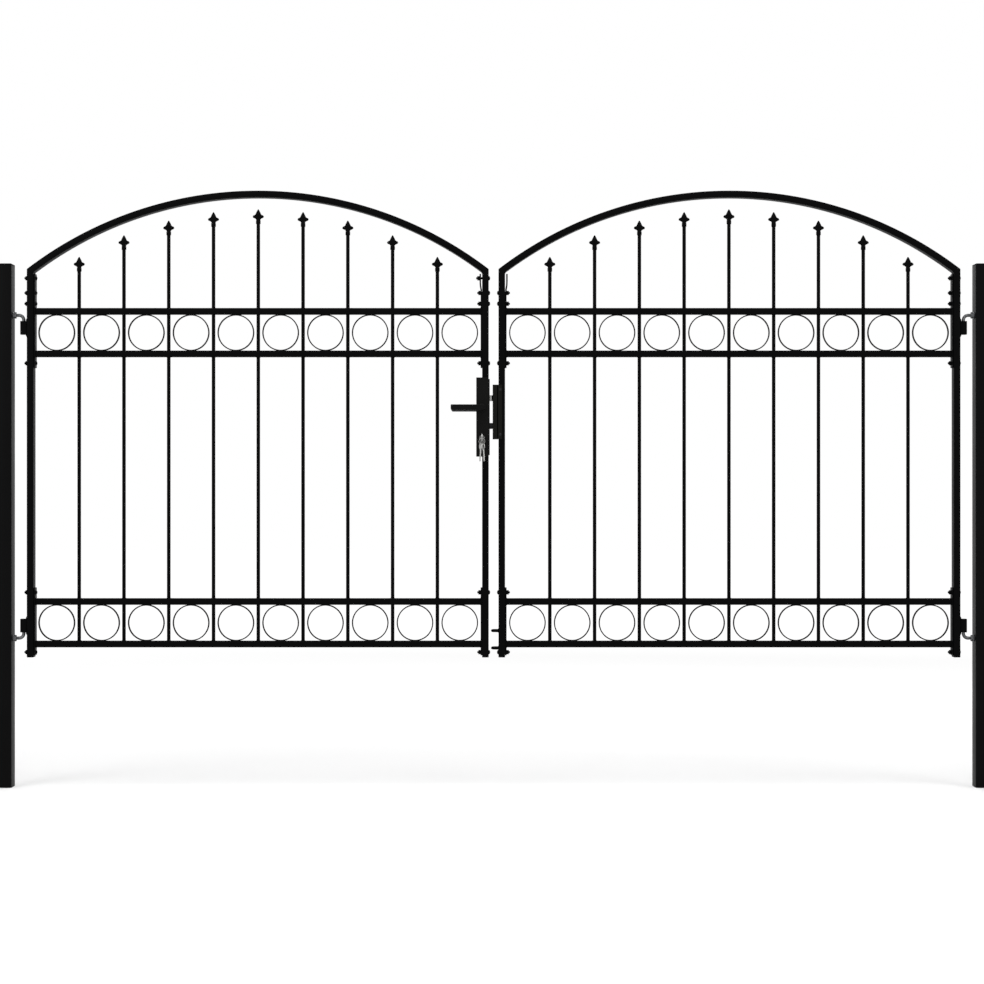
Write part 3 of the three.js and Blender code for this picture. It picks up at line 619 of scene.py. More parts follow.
for leaf in leaves:
    tube = assemble(f"{leaf.side}_hinge_stile_tube", [mitred_tube(leaf, -1)], coat)
    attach(tube, leaf.body)
    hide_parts(f"{leaf.side}_hinge_stile")

    solid = mitred_tube(leaf, 1)
    if leaf.side == "left":
        case_low, case_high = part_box("lock_case")
        wall = leaf.meet_x - FRAME_WALL
        pocket = rounded(wall - case_low.x + FRAME_FACE, 2 * FRAME_DEPTH, MM)
        place = ((wall + case_low.x) / 2 - FRAME_FACE / 2, 0)
        cutters = [prism(pocket, "z", case_low.z - BORE_SPARE, case_high.z + BORE_SPARE, place)]
        solid = cut_in_turn(solid, cutters + bolt_slots(leaf.meet_x + OVERRUN, wall - OVERRUN))
    tube = assemble(f"{leaf.side}_meeting_stile_tube", [solid], coat)
    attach(tube, leaf.body)
    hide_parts(f"{leaf.side}_meeting_stile")

    for edge, name in ((-1, "hinge"), (1, "meeting")):
        centre = (leaf.x_at(edge, FRAME_FACE / 2), 0)
        face, depth = FRAME_FACE - 2 * FRAME_WALL - MM, FRAME_DEPTH - 2 * FRAME_WALL - MM
        levels = [(FRAME_FACE - slim * MM, FRAME_DEPTH - slim * MM, rise * MM) for slim, rise in PLUG_EDGE]
        levels += [
            (FRAME_FACE, FRAME_DEPTH, PLUG_HEAD - MITRE_GAP),
            (face, depth, PLUG_HEAD - MITRE_GAP),
            (face, depth, PLUG_REACH - PLUG_LEAD),
            (face - PLUG_LEAD, depth - PLUG_LEAD, PLUG_REACH),
        ]
        rings = []
        for width, length, rise in levels:
            outline = rounded(width, length, FRAME_CORNER)
            rings.append(laid(outline, "z", leaf.bottom + rise, centre))
        plug = assemble(f"{leaf.side}_{name}_stile_plug", [skin(rings)], plastic, arris=0)
        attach(plug, leaf.body)

# ---------------------------------------------------------------- hinge eyes
# A short block of steel welded to each hinge stile and bored for the hook's pin to turn in.
# Its outer corners are rounded, and a heavy fillet of weld runs up the stile above and below it.

EYE_REACH = 22 * MM
EYE_HEIGHT = 41 * MM
EYE_DEPTH = 24 * MM
EYE_FILLET = 10 * MM
EYE_CORNER = 4 * MM
PIN_ENGAGEMENT = 28 * MM


def hinge_eye(leaf, end):
    """Bored block round the pin of one packed hook, and the height of its middle."""
    pin_x, pin_end = pin_of(leaf.side, end)
    turn = 1 if end == "upper" else -1
    middle = pin_end + turn * (PIN_ENGAGEMENT - EYE_HEIGHT / 2)
    width = EYE_REACH + FRAME_WALL / 2
    centre = (leaf.hinge_x + leaf.hand * (FRAME_WALL / 2 - EYE_REACH) / 2, 0)
    bottom, top = middle - EYE_HEIGHT / 2, middle + EYE_HEIGHT / 2
    block = prism(rounded(width, EYE_DEPTH, EYE_CORNER, 5), "z", bottom, top, centre)
    hole = prism(circle(HOOK_RADIUS + BORE_SPARE, 32), "z", bottom - MM, top + MM, (pin_x, 0))
    return less(block, hole), middle


eye_heights = {}
for leaf in leaves:
    solids = []
    for end in ENDS:
        solid, middle = hinge_eye(leaf, end)
        eye_heights[end] = middle
        solids.append(solid)
    eyes = assemble(f"{leaf.side}_hinge_eyes", solids, coat, arris=0.9 * MM, segments=3)
    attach(eyes, leaf.body)

# ---------------------------------------------------------------- arches
# The bowed top of each leaf: the same rectangular tube, rolled to a radius.
# Both its ends are mitred and welded to the stiles.

ARCH_STEPS = 64

for leaf in leaves:
    rings = []
    for outline, order in zip(FRAME_TUBE, (1, -1)):
        course = []
        for i in range(ARCH_STEPS + 1):
            ring = []
            for u, v in outline:
                inset = FRAME_FACE / 2 - u
                reach = leaf.radius - inset
                limit = math.asin((leaf.half - inset) / reach) - MITRE_GAP / reach
                angle = limit * (2 * i / ARCH_STEPS - 1)
                x = leaf.middle + reach * math.sin(angle)
                ring.append(Vector((x, v, leaf.arch_z + reach * math.cos(angle))))
            course.append(ring)
        rings += course[::order]
    tube = assemble(f"{leaf.side}_arch_tube", [skin(rings, closed=True)], coat)
    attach(tube, leaf.body)
    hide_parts(f"{leaf.side}_arch")

# ---------------------------------------------------------------- ring bands
# Two square tubes with ten flat-bar rings welded between them, and a flat strip welded across each end.
# The strips are bolted to the stiles. The tall upper ones have sprung a few millimetres away from the
# meeting stiles above their last tight bolt.

RAIL = 20 * MM
RAIL_WALL = 1.2 * MM
RAIL_CORNER = 2 * MM
RAIL_TUBE = tube_walls(RAIL, RAIL, RAIL_WALL, RAIL_CORNER)
RING_COUNT = 10
RING_DIAMETER = 112 * MM
RING_THICKNESS = 3.5 * MM
RING_DEPTH = 10 * MM
RING_SIDES = 96
WELD_BITE = 1 * MM
STRIP_BELOW = {"lower": 24 * MM, "upper": 33 * MM}
STRIP_THICKNESS = 4.6 * MM
STRIP_DEPTH = 30 * MM
STRIP_STANDOFF = 0.05 * MM
STRIP_CORNER = 4 * MM
CORNER_STEPS = 4
STRIP_STEPS = 24
TIGHT_BELOW = 232 * MM
SPRUNG_ABOVE = 258 * MM
SPRUNG = 3.4 * MM
BAR_RADIUS = 5.5 * MM


class Band:
    """Where one ring band stands in its leaf."""

    def __init__(self, leaf, end):
        self.low, self.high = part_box(f"{leaf.side}_{end}_ring_band")
        offset = RING_DIAMETER / 2 - WELD_BITE + RAIL / 2
        self.ring_z = self.low.z + STRIP_BELOW[end] + RAIL / 2 + offset
        self.rails = (self.ring_z - offset, self.ring_z + offset)
        pitch = (2 * leaf.half - 2 * FRAME_FACE) / RING_COUNT
        self.bars = [leaf.middle + (i - RING_COUNT / 2) * pitch for i in range(1, RING_COUNT)]
        self.rings = [leaf.middle + (i - (RING_COUNT - 1) / 2) * pitch for i in range(RING_COUNT)]
        self.strips = []
        for edge in (-1, 1):
            near = leaf.middle + edge * (leaf.half - FRAME_FACE - STRIP_STANDOFF)
            self.strips.append((near, near - edge * STRIP_THICKNESS))

    def spring(self, rise):
        """How far a strip stands off its meeting stile at that height above its own foot."""
        share = min(1.0, max(0.0, (rise - TIGHT_BELOW) / (SPRUNG_ABOVE - TIGHT_BELOW)))
        return SPRUNG * share * share * (3 - 2 * share)


def end_strip(leaf, band, edge, near, far):
    """Flat strip with its corners rounded, bowed away from the stile at the meeting side."""
    tall = band.high.z - band.low.z
    corner = []
    for step in range(CORNER_STEPS + 1):
        angle = math.pi / 2 / CORNER_STEPS * step
        inset = STRIP_CORNER * (1 - math.sin(angle))
        corner.append((STRIP_CORNER * (1 - math.cos(angle)), STRIP_DEPTH - 2 * inset))
    levels = corner + [(tall * i / STRIP_STEPS, STRIP_DEPTH) for i in range(1, STRIP_STEPS)]
    levels += [(tall - rise, depth) for rise, depth in reversed(corner)]
    rings = []
    for rise, depth in levels:
        bow = -edge * band.spring(rise) if edge * leaf.hand > 0 else 0
        half, reach = (near - far) / 2, depth / 2
        outline = [(half, reach), (-half, reach), (-half, -reach), (half, -reach)]
        rings.append(laid(outline, "z", band.low.z + rise, ((near + far) / 2 + bow, 0)))
    return skin(rings)


def flat_ring(x, z):
    """Ring bent from flat bar, with its edges a little rounded."""
    outer, half = RING_DIAMETER / 2, RING_DEPTH / 2
    inner = outer - RING_THICKNESS
    profile = [(-half, inner), (-half, outer), (half, outer), (half, inner)]
    return spun(profile, "y", (x, z), RING_SIDES, closed=True)


bands = {}
for leaf in leaves:
    for end in ENDS:
        band = bands[leaf.side, end] = Band(leaf, end)
        start, stop = band.strips[0][1], band.strips[1][1]
        solids = []
        for place, height in enumerate(band.rails):
            rail = tube_length(RAIL_TUBE, "x", start, stop, (0, height))
            seated = end == "lower" and place == 0
            bottom = height - RAIL / 2 + RAIL_WALL + MM if seated else height - RAIL
            hole = circle(BAR_RADIUS + BORE_SPARE, 32)
            bores = [prism(hole, "z", bottom, height + RAIL, (x, 0)) for x in band.bars]
            solids.append(less(rail, *bores))
        solids += [flat_ring(x, band.ring_z) for x in band.rings]
        for edge, (near, far) in zip((-1, 1), band.strips):
            solids.append(end_strip(leaf, band, edge, near, far))
        ladder = assemble(f"{leaf.side}_{end}_band_ladder", solids, coat)
        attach(ladder, leaf.body)
        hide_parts(f"{leaf.side}_{end}_ring_band")

# ---------------------------------------------------------------- bars
# Nine round steel bars in each leaf, pushed up through both bands and welded where they cross the rails.
# A forged spear head closes each: a round point over two side lobes, drawn in to a neck and a socket.

BAR_SIDES = 32
BAR_CHAMFER = 0.8 * MM
SPEAR_LENGTH = 50 * MM
SPEAR_LOBE = 3.6 * MM
LOBE_SOFTNESS = 6
SPEAR_PROFILE = [
    # below the tip, half the span across the gate, half the thickness through it
    (0.0, 0.5, 0.5),
    (0.6, 1.3, 1.3),
    (3.0, 2.9, 2.9),
    (7.0, 5.0, 5.0),
    (11.0, 6.9, 6.8),
    (14.0, 8.2, 7.9),
    (16.0, 9.2, 8.4),
    (17.2, 11.2, 8.5),
    (18.2, 13.8, 8.4),
    (19.6, 15.7, 8.2),
    (21.2, 16.7, 7.9),
    (22.8, 17.0, 7.7),
    (24.4, 16.6, 7.4),
    (25.8, 15.4, 7.1),
    (27.0, 13.0, 6.9),
    (28.2, 10.2, 6.6),
    (29.6, 8.0, 6.4),
    (31.5, 6.7, 6.3),
    (33.2, 6.4, 6.4),
    (34.4, 6.9, 6.9),
    (35.8, 7.2, 7.2),
    (43.8, 7.2, 7.2),
    (45.0, 6.6, 6.6),
    (45.4, 5.5, 5.5),
]


def spear_ring(x, z, span, thickness):
    """One level of a spear head: a round body, with lobes to either side where the span is wider."""
    ring = []
    for k in range(BAR_SIDES):
        angle = 2 * math.pi * k / BAR_SIDES
        lobe = span
        if span > thickness:
            across, through = math.cos(angle) / span, math.sin(angle) / min(SPEAR_LOBE, thickness)
            lobe = 1 / math.hypot(across, through)
        body = min(thickness, span)
        reach = (lobe ** LOBE_SOFTNESS + body ** LOBE_SOFTNESS) ** (1 / LOBE_SOFTNESS)
        reach = min(reach, max(span, body))
        ring.append(Vector((x + reach * math.cos(angle), reach * math.sin(angle), z)))
    return ring


for leaf in leaves:
    for number in range(1, RING_COUNT):
        node = f"{leaf.side}_bar_{number}"
        low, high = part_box(node)
        x = middle_of(node)[0]
        rings = []
        for drop, span, thickness in SPEAR_PROFILE:
            rings.append(spear_ring(x, high.z - drop * MM, span * MM, thickness * MM))
        for height, chamfer in ((high.z - SPEAR_LENGTH, 0), (low.z + MM, 0), (low.z, BAR_CHAMFER)):
            rings.append(laid(circle(BAR_RADIUS - chamfer, BAR_SIDES), "z", height, (x, 0)))
        rod = assemble(f"{leaf.side}_bar_{number}_rod", [skin(rings)], coat, arris=0)
        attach(rod, leaf.body)
        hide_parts(f"{leaf.side}_bar_{number}")

# ---------------------------------------------------------------- welds
# Runs of weld that hold the leaves together, rippled and a little uneven, coated over with the rest.
# They fill the corners at the mitres, hinge eyes, end strips, rings and bars.

BEAD_STEP = 1.3 * MM
BEAD_SIDES = 8
BEAD_RIPPLE = 0.1
BEAD_WAVE = 2.2
BEAD_WOBBLE = 0.22
BEAD_GRAIN = 400
BEAD_END = 0.4
BEAD_GAIN = 0.25
BEAD_SINK = 0.3 * MM
MITRE_BEAD = 1.0 * MM
MITRE_FILLET = 1.6 * MM
EYE_SIDE_BEAD = 1.8 * MM
EYE_END_BEAD = 2.1 * MM
EYE_LANE = 3 * MM
LANES_ASIDE = 3
EYE_ROOT = 4 * MM
STRIP_BEAD = 1.3 * MM
RING_BEAD = 1.5 * MM
RING_BEAD_ASIDE = 11.5 * MM
BAR_BEAD = 1.1 * MM
BAR_BEAD_OUT = 0.7 * MM


def run(start, end):
    """Evenly spaced points from one place to another."""
    steps = max(2, round((end - start).length / BEAD_STEP))
    return [start.lerp(end, i / steps) for i in range(steps + 1)]


def around(corners):
    """Evenly spaced points round a closed chain of corners."""
    path = []
    for i, corner in enumerate(corners):
        path += run(corner, corners[(i + 1) % len(corners)])[:-1]
    return path


def bead(path, up, size, closed=False):
    """Roll of weld along a flat path, rippled as it was laid and thinner at open ends."""
    outlines = []
    for i, point in enumerate(path):
        ripple = 1 + BEAD_RIPPLE * math.sin(BEAD_WAVE * i) + BEAD_WOBBLE * noise.noise(point * BEAD_GRAIN)
        end = min(i, len(path) - 1 - i)
        taper = 1 if closed else min(1, BEAD_END + BEAD_GAIN * end)
        outlines.append(circle(size * ripple * taper, BEAD_SIDES))
    return swept(path, up, outlines, closed)


UP = Vector((0, 0, 1))
ACROSS = Vector((1, 0, 0))

for leaf in leaves:
    solids = []
    hand = leaf.hand
    # mitres, on the front, back and inner faces
    face = FRAME_DEPTH / 2 - BEAD_SINK
    outer_z, inner_z = leaf.mitre_z(0), leaf.mitre_z(FRAME_FACE)
    for edge in (-1, 1):
        for y in (-face, face):
            outer = Vector((leaf.x_at(edge, MM), y, outer_z))
            inner = Vector((leaf.x_at(edge, FRAME_FACE - MM), y, inner_z))
            solids.append(bead(run(outer, inner), THROUGH, MITRE_BEAD))
        inner = Vector((leaf.x_at(edge, FRAME_FACE), 0, inner_z))
        sweep = THROUGH * (face - 2 * MM)
        solids.append(bead(run(inner - sweep, inner + sweep), UP, MITRE_FILLET))
    # hinge eyes, with a fillet that runs out above and below
    for middle in eye_heights.values():
        for y in (-EYE_DEPTH / 2, EYE_DEPTH / 2):
            low = Vector((leaf.hinge_x, y, middle - EYE_HEIGHT / 2))
            high = Vector((leaf.hinge_x, y, middle + EYE_HEIGHT / 2))
            solids.append(bead(run(low, high), THROUGH, EYE_SIDE_BEAD))
        for turn in (-1, 1):
            for lane in range(-LANES_ASIDE, LANES_ASIDE + 1):
                z = middle + turn * (EYE_HEIGHT / 2 - MM)
                root = Vector((leaf.hinge_x - hand * EYE_ROOT, lane * EYE_LANE, z))
                tip = root + Vector((hand * EYE_ROOT, 0, turn * EYE_FILLET))
                solids.append(bead(run(root, tip), THROUGH, EYE_END_BEAD))
    for end in ENDS:
        band = bands[leaf.side, end]
        # rails on their end strips
        half = RAIL / 2
        square = [(-half, -half), (half, -half), (half, half), (-half, half)]
        for near, far in band.strips:
            for height in band.rails:
                corners = laid(square, "x", far, (0, height))
                solids.append(bead(around(corners), ACROSS, STRIP_BEAD, closed=True))
        # rings on both rails
        reach = THROUGH * (RING_DEPTH / 2 - 2 * BEAD_SINK)
        for x in band.rings:
            for turn, height in zip((-1, 1), band.rails):
                z = height - turn * (RAIL / 2 + BEAD_SINK)
                for aside in (-RING_BEAD_ASIDE, RING_BEAD_ASIDE):
                    place = Vector((x + aside, 0, z))
                    solids.append(bead(run(place - reach, place + reach), UP, RING_BEAD))
        # bars where they come out of the rails
        outline = circle(BAR_RADIUS + BAR_BEAD_OUT, 20)
        for x in band.bars:
            for place, height in enumerate(band.rails):
                under = end == "upper" and place == 0
                level = height - RAIL / 2 if under else height + RAIL / 2
                solids.append(bead(laid(outline, "z", level, (x, 0)), UP, BAR_BEAD, closed=True))
    seams = assemble(f"{leaf.side}_leaf_welds", solids, coat, arris=0)
    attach(seams, leaf.body)

# ---------------------------------------------------------------- panel bolts
# Domed coach bolts, 7 mm thick, through each stile and end strip, closed by a washer and nut.
# The nuts are on the strips, except on the left hinge stile, where they face the post. The right
# leaf has none at the top of its meeting stile.

BOLT_RADIUS = 3.5 * MM
BOLT_HEAD = 7 * MM
BOLT_DOME = 4.6 * MM
BOLT_NUT_FLATS = 11.5 * MM
BOLT_NUT = 5.5 * MM
BOLT_WASHER = 6.9 * MM
BOLT_WASHER_THICKNESS = 1.4 * MM
BOLT_TAIL = 3.4 * MM
BOLT_CROWN = 0.6 * MM
BOLT_SPARE = 0.1 * MM
BOLT_PITCH = 1 * MM
BOLT_THREAD = 0.5 * MM
BOLTS_ABOVE_STRIP_FOOT = {
    "lower": (9 * MM, 192 * MM),
    "upper": (14.5 * MM, 196.5 * MM, 229.5 * MM, 274.5 * MM),
}
TOP_BOLT = BOLTS_ABOVE_STRIP_FOOT["upper"][-1]


def coach_bolt(head_face, nut_face, height):
    """Coach bolt along X, from the face under its head to the face under its nut."""
    away = 1 if nut_face > head_face else -1
    top = head_face - away * BOLT_DOME
    profile = [(top, BOLT_CROWN)]
    for share in (0.25, 0.5, 0.7, 0.85, 0.95, 1.0):
        depth = BOLT_DOME * (1 - math.sqrt(1 - share ** 2))
        profile.append((top + away * depth, share * BOLT_HEAD))
    seat = head_face + away * BOLT_SPARE
    under_nut = nut_face + away * BOLT_WASHER_THICKNESS
    tail = under_nut + away * BOLT_NUT
    end = tail + away * BOLT_TAIL
    thread = tail - away * MM
    profile += [(seat, BOLT_HEAD), (seat, BOLT_RADIUS), (thread, BOLT_RADIUS)]
    while abs(end - thread) > BOLT_PITCH:
        profile.append((thread + away * BOLT_PITCH / 2, BOLT_RADIUS - BOLT_THREAD))
        profile.append((thread + away * BOLT_PITCH, BOLT_RADIUS))
        thread += away * BOLT_PITCH
    profile.append((end, BOLT_RADIUS - MM))
    hole = BOLT_RADIUS + BOLT_SPARE
    centre = (0, height)
    return [
        spun(profile, "x", centre),
        washer("x", centre, nut_face, away, BOLT_WASHER, BOLT_WASHER_THICKNESS, hole),
        nut("x", centre, under_nut, away, BOLT_NUT_FLATS, BOLT_NUT, hole),
    ]


for leaf in leaves:
    solids = []
    for end in ENDS:
        band = bands[leaf.side, end]
        for rise in BOLTS_ABOVE_STRIP_FOOT[end]:
            height = band.low.z + rise
            for edge, (near, far) in zip((-1, 1), band.strips):
                outer = leaf.middle + edge * leaf.half
                at_hinge = edge * leaf.hand < 0
                if leaf.side == "right" and rise == TOP_BOLT and not at_hinge:
                    continue
                strip_face = far if at_hinge else far - edge * band.spring(rise)
                nuts_outside = at_hinge and leaf.side == "left"
                faces = (strip_face, outer) if nuts_outside else (outer, strip_face)
                solids += coach_bolt(*faces, height)
    bolts = assemble(f"{leaf.side}_leaf_bolts", solids, coat, arris=0)
    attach(bolts, leaf.body)

# ---------------------------------------------------------------- lock
# A long box lock of pressed steel, let into the left meeting stile and closed on the meeting side by its
# faceplate, which two countersunk screws hold. Its enamel is satin black, and each lever turns in a
# round rose.

CASE_ROUND = 1.5 * MM
EASED_STEPS = 3
CASE_SHY = 0.1 * MM
LAP_CORNER = 0.2 * MM
ROSE_RADIUS = 13 * MM
ROSE_THICKNESS = 3 * MM
ROSE_SINK = 0.2 * MM
ROSE_SPARE = 0.5 * MM
SPINDLE_RADIUS = 6 * MM
CYLINDER_RADIUS = 8.5 * MM
CYLINDER_WEB = 5 * MM
FOREND_CORNER = 3 * MM
SCREW_RADIUS = 3.6 * MM
SCREW_SINK = 0.15 * MM
SCREW_HEAD = 1.7 * MM
SCREW_SHANK = 1.9 * MM
SCREW_HOLE = 2 * MM
CROSS_DEPTH = 0.9 * MM
SCREW_CROSS = [(0.9 * MM, 4.2 * MM), (4.2 * MM, 0.9 * MM)]
SCREW_INSET = 12 * MM


def lock_black(start):
    """Baked satin enamel, a little lighter and smoother than the powder, with rubbed patches."""
    cloud = start.grain(40, 4)
    rubbed = start.grain(220, 5, 0.7).within(0.58, 0.78)
    base = cloud.between((0.0026, 0.0026, 0.0026, 1), (0.0042, 0.0041, 0.004, 1))
    return {
        "Base Color": (rubbed * 0.5).between(base, (0.009, 0.009, 0.009, 1)),
        "Roughness": 0.42 + 0.14 * cloud - 0.06 * rubbed,
        "Specular IOR Level": 0.06,
        "Normal": start.grain(1500, 2).raised(0.05, 0.08 * MM),
    }


left, right = leaves
lock_black_finish = finish_named("satin_black_enamel", lock_black)
case_low, case_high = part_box("lock_case")
lever_low, lever_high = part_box("lever_handle")
barrel_low, barrel_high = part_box("key_cylinder")
plate_low, plate_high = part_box("lock_faceplate")
spindle_x = lever_high.x - (lever_high.z - lever_low.z) / 2
spindle_z = middle_of("lever_handle")[2]
spindle = (spindle_x, spindle_z)
barrel_x = middle_of("key_cylinder")[0]
barrel_z = barrel_high.z - CYLINDER_RADIUS
barrel_at = (barrel_x, barrel_z)


def cylinder_outline(spare=0.0):
    """Lock cylinder's profile, larger by the spare: a round over a web that ends in a half round."""
    radius, web = CYLINDER_RADIUS + spare, CYLINDER_WEB + spare
    foot_z = web - (barrel_z - barrel_low.z + spare)
    meet = math.asin(web / radius)
    outline = arc(radius, meet - math.pi / 2, 1.5 * math.pi - meet, 24)
    return outline + arc(web, math.pi, 2 * math.pi, 8, (0, foot_z))


def eased(width, height, axis, start, end, centre, arris):
    """Block with every arris rounded over, so that it can be cut afterwards."""
    ends = []
    for step in range(EASED_STEPS + 1):
        angle = math.pi / 2 / EASED_STEPS * step
        inset = arris * (1 - math.sin(angle))
        outline = rounded(width - 2 * inset, height - 2 * inset, arris * 1.1 - inset)
        ends.append((arris * (1 - math.cos(angle)), outline))
    rings = [laid(outline, axis, start + depth, centre) for depth, outline in ends]
    rings += [laid(outline, axis, end - depth, centre) for depth, outline in reversed(ends)]
    return skin(rings)


# the case lies against the cut wall of the stile, and its two cheeks lap over the stile's front and back
outer_x = left.meet_x - CASE_SHY
width, height = outer_x - case_low.x, case_high.z - case_low.z
middle = ((case_low.x + outer_x) / 2, middle_of("lock_case")[2])
box = eased(width, height, "y", case_low.y, case_high.y, middle, CASE_ROUND)
cutters = []
for outline, place in (
    (circle(SPINDLE_RADIUS + BORE_SPARE, 32), spindle),
    (cylinder_outline(BORE_SPARE), barrel_at),
):
    cutters.append(prism(outline, "y", case_low.y - MM, case_high.y + MM, place))
cutters += bolt_slots(case_high.x + OVERRUN)
lap = rounded(2 * FRAME_WALL, FRAME_DEPTH + 2 * BORE_SPARE, LAP_CORNER)
cutters.append(prism(lap, "z", case_low.z - MM, case_high.z + MM, (outer_x, 0)))
case = assemble("lock_case_shell", [cut_in_turn(box, cutters)], lock_black_finish, arris=0)
evened = case.modifiers.new("even_faces", "WEIGHTED_NORMAL")
evened.keep_sharp = True
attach(case, "left_leaf")
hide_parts("lock_case")

bore = SPINDLE_RADIUS + ROSE_SPARE
profile = [
    (-ROSE_SINK, bore),
    (-ROSE_SINK, ROSE_RADIUS),
    (ROSE_THICKNESS - MM, ROSE_RADIUS),
    (ROSE_THICKNESS - 0.3 * MM, ROSE_RADIUS - 0.3 * MM),
    (ROSE_THICKNESS, ROSE_RADIUS - 1.1 * MM),
    (ROSE_THICKNESS, bore),
]
solids = []
for face, away in ((case_low.y, -1), (case_high.y, 1)):
    solids.append(spun(profile, "y", spindle, 48, closed=True, start=face, away=away))
roses = assemble("lock_lever_roses", solids, lock_black_finish, arris=0)
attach(roses, "left_leaf")


def bright_steel(start):
    """Nickelled steel with fine lengthwise drawing marks and slight tarnish."""
    drawn = start.grain(900, 3, 0.6, stretch=(1, 0.08, 0.08))
    tarnish = start.grain(120, 4, 0.6)
    return {
        "Base Color": tarnish.within(0.4, 0.7).between((0.42, 0.42, 0.41, 1), (0.3, 0.295, 0.28, 1)),
        "Metallic": 1.0,
        "Roughness": 0.25 + 0.12 * tarnish + 0.08 * drawn,
        "Normal": drawn.raised(0.2, 0.05 * MM),
    }


steel = finish_named("nickelled_steel", bright_steel)


def countersunk_screw(axis, face, away, centre):
    """Countersunk screw just below a face, with a cross recess; away points out of the face."""
    top = face - away * SCREW_SINK
    profile = [(0, SCREW_RADIUS), (-SCREW_HEAD, SCREW_SHANK), (-2.5 * MM, SCREW_SHANK)]
    head = spun(profile, axis, centre, start=top, away=away)
    recesses = []
    for size in SCREW_CROSS:
        recess = rounded(*size, 0.2 * MM)
        recesses.append(prism(recess, axis, top - away * CROSS_DEPTH, top + away * MM, centre))
    return cut_in_turn(head, recesses)


def countersink(axis, face, away, centre, depth):
    """Cutter for a countersunk hole that deep."""
    profile = [(0.1 * MM, SCREW_RADIUS + 0.4 * MM), (-1.8 * MM, SCREW_HOLE), (-depth, SCREW_HOLE)]
    return spun(profile, axis, centre, start=face, away=away)


outline = rounded(plate_high.y - plate_low.y, plate_high.z - plate_low.z, FOREND_CORNER, 5)
forend = prism(outline, "x", left.meet_x, plate_high.x, (0, middle_of("lock_faceplate")[2]))
heights = (plate_low.z + SCREW_INSET, plate_high.z - SCREW_INSET)
cutters = bolt_slots(plate_high.x + MM, plate_low.x - MM)
depth = plate_high.x - plate_low.x + MM
cutters += [countersink("x", plate_high.x, 1, (0, z), depth) for z in heights]
plate = assemble("lock_forend", [cut_in_turn(forend, cutters)], lock_black_finish, arris=0.5 * MM)
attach(plate, "left_leaf")
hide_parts("lock_faceplate")

solids = [countersunk_screw("x", plate_high.x, 1, (0, z)) for z in heights]
screws = assemble("lock_forend_screws", solids, steel, arris=0)
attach(screws, "left_leaf")

# ---------------------------------------------------------------- latch and deadbolt
# Two bolts that slide in the lock: a latch with a slanted nose, of nickelled steel, which the levers draw
# back, and a square deadbolt thrown by the key.

LATCH_SLANT = 8.4 * MM

low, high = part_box("latch_bolt")
nose = [
    (low.x, low.y),
    (high.x - LATCH_SLANT, low.y),
    (high.x, high.y - 2 * MM),
    (high.x, high.y),
    (low.x, high.y),
]
latch = assemble("latch_tongue", [prism(nose, "z", low.z, high.z)], steel, arris=0.6 * MM)
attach(latch, "latch")
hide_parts("latch_bolt")


def worn_black(start):
    """Blacked steel, rubbed through to grey along the way it slides."""
    rubs = start.grain(420, 3, 0.6, stretch=(0.1, 1, 1)).within(0.52, 0.72)
    return {
        "Base Color": rubs.between((0.012, 0.012, 0.013, 1), (0.05, 0.05, 0.052, 1)),
        "Metallic": 0.3 * rubs,
        "Roughness": 0.42 - 0.1 * rubs,
        "Specular IOR Level": 0.15,
        "Normal": rubs.raised(0.2, 0.04 * MM),
    }


blacked = finish_named("rubbed_blacked_steel", worn_black)
low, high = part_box("deadbolt")
bar = rounded(high.y - low.y, high.z - low.z, MM)
bolt_bar = prism(bar, "x", low.x, high.x, (0, middle_of("deadbolt")[2]))
bolt = assemble("dead_bolt_bar", [bolt_bar], blacked, arris=0.9 * MM)
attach(bolt, "deadbolt")
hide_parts("deadbolt")

# ---------------------------------------------------------------- levers
# A cast lever on each side of the leaf, joined by the spindle through the lock.
# Each is a straight bar with a squared end, rounded only below, on a turned neck held by a grub screw.

LEVER_NECK = 8 * MM
LEVER_ROUND = 2.6 * MM
GRUB = 2 * MM
LEVER_THICKNESS = 14 * MM
LEVER_EDGE = 2 * MM
LEVER_SWEEP = 0.65
NECK_GAP = 0.4 * MM
GRUB_PLACE = 7 * MM


def lever_enamel(start):
    """Smooth black lacquer over a cast lever, with the faint waves of the casting."""
    wave = start.grain(130, 2)
    return {
        "Base Color": wave.between((0.0018, 0.0018, 0.0018, 1), (0.003, 0.003, 0.0032, 1)),
        "Roughness": 0.3 + 0.12 * wave,
        "Specular IOR Level": 0.065,
        "Normal": wave.raised(0.12, 0.3 * MM),
    }


lever_black = finish_named("smooth_black_lacquer", lever_enamel)
lever_half = (lever_high.z - lever_low.z) / 2
free_x = lever_low.x
top_z, corner = spindle_z + lever_half, lever_half * LEVER_SWEEP
outline = arc(lever_half, -math.pi / 2, math.pi / 2, 16, spindle)
outline.append((free_x + LEVER_EDGE, top_z))
outline.append((free_x + 0.6 * MM, top_z - 0.6 * MM))
outline.append((free_x, top_z - LEVER_EDGE))
outline += arc(corner, math.pi, 1.5 * math.pi, 8, (free_x + corner, spindle_z - lever_half + corner))
solids = [
    prism(outline, "y", lever_low.y, lever_low.y + LEVER_THICKNESS),
    prism(outline, "y", lever_high.y - LEVER_THICKNESS, lever_high.y),
]
levers = assemble("lever_grips", solids, lever_black, arris=LEVER_ROUND, segments=4)
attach(levers, "lever")
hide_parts("lever_handle")

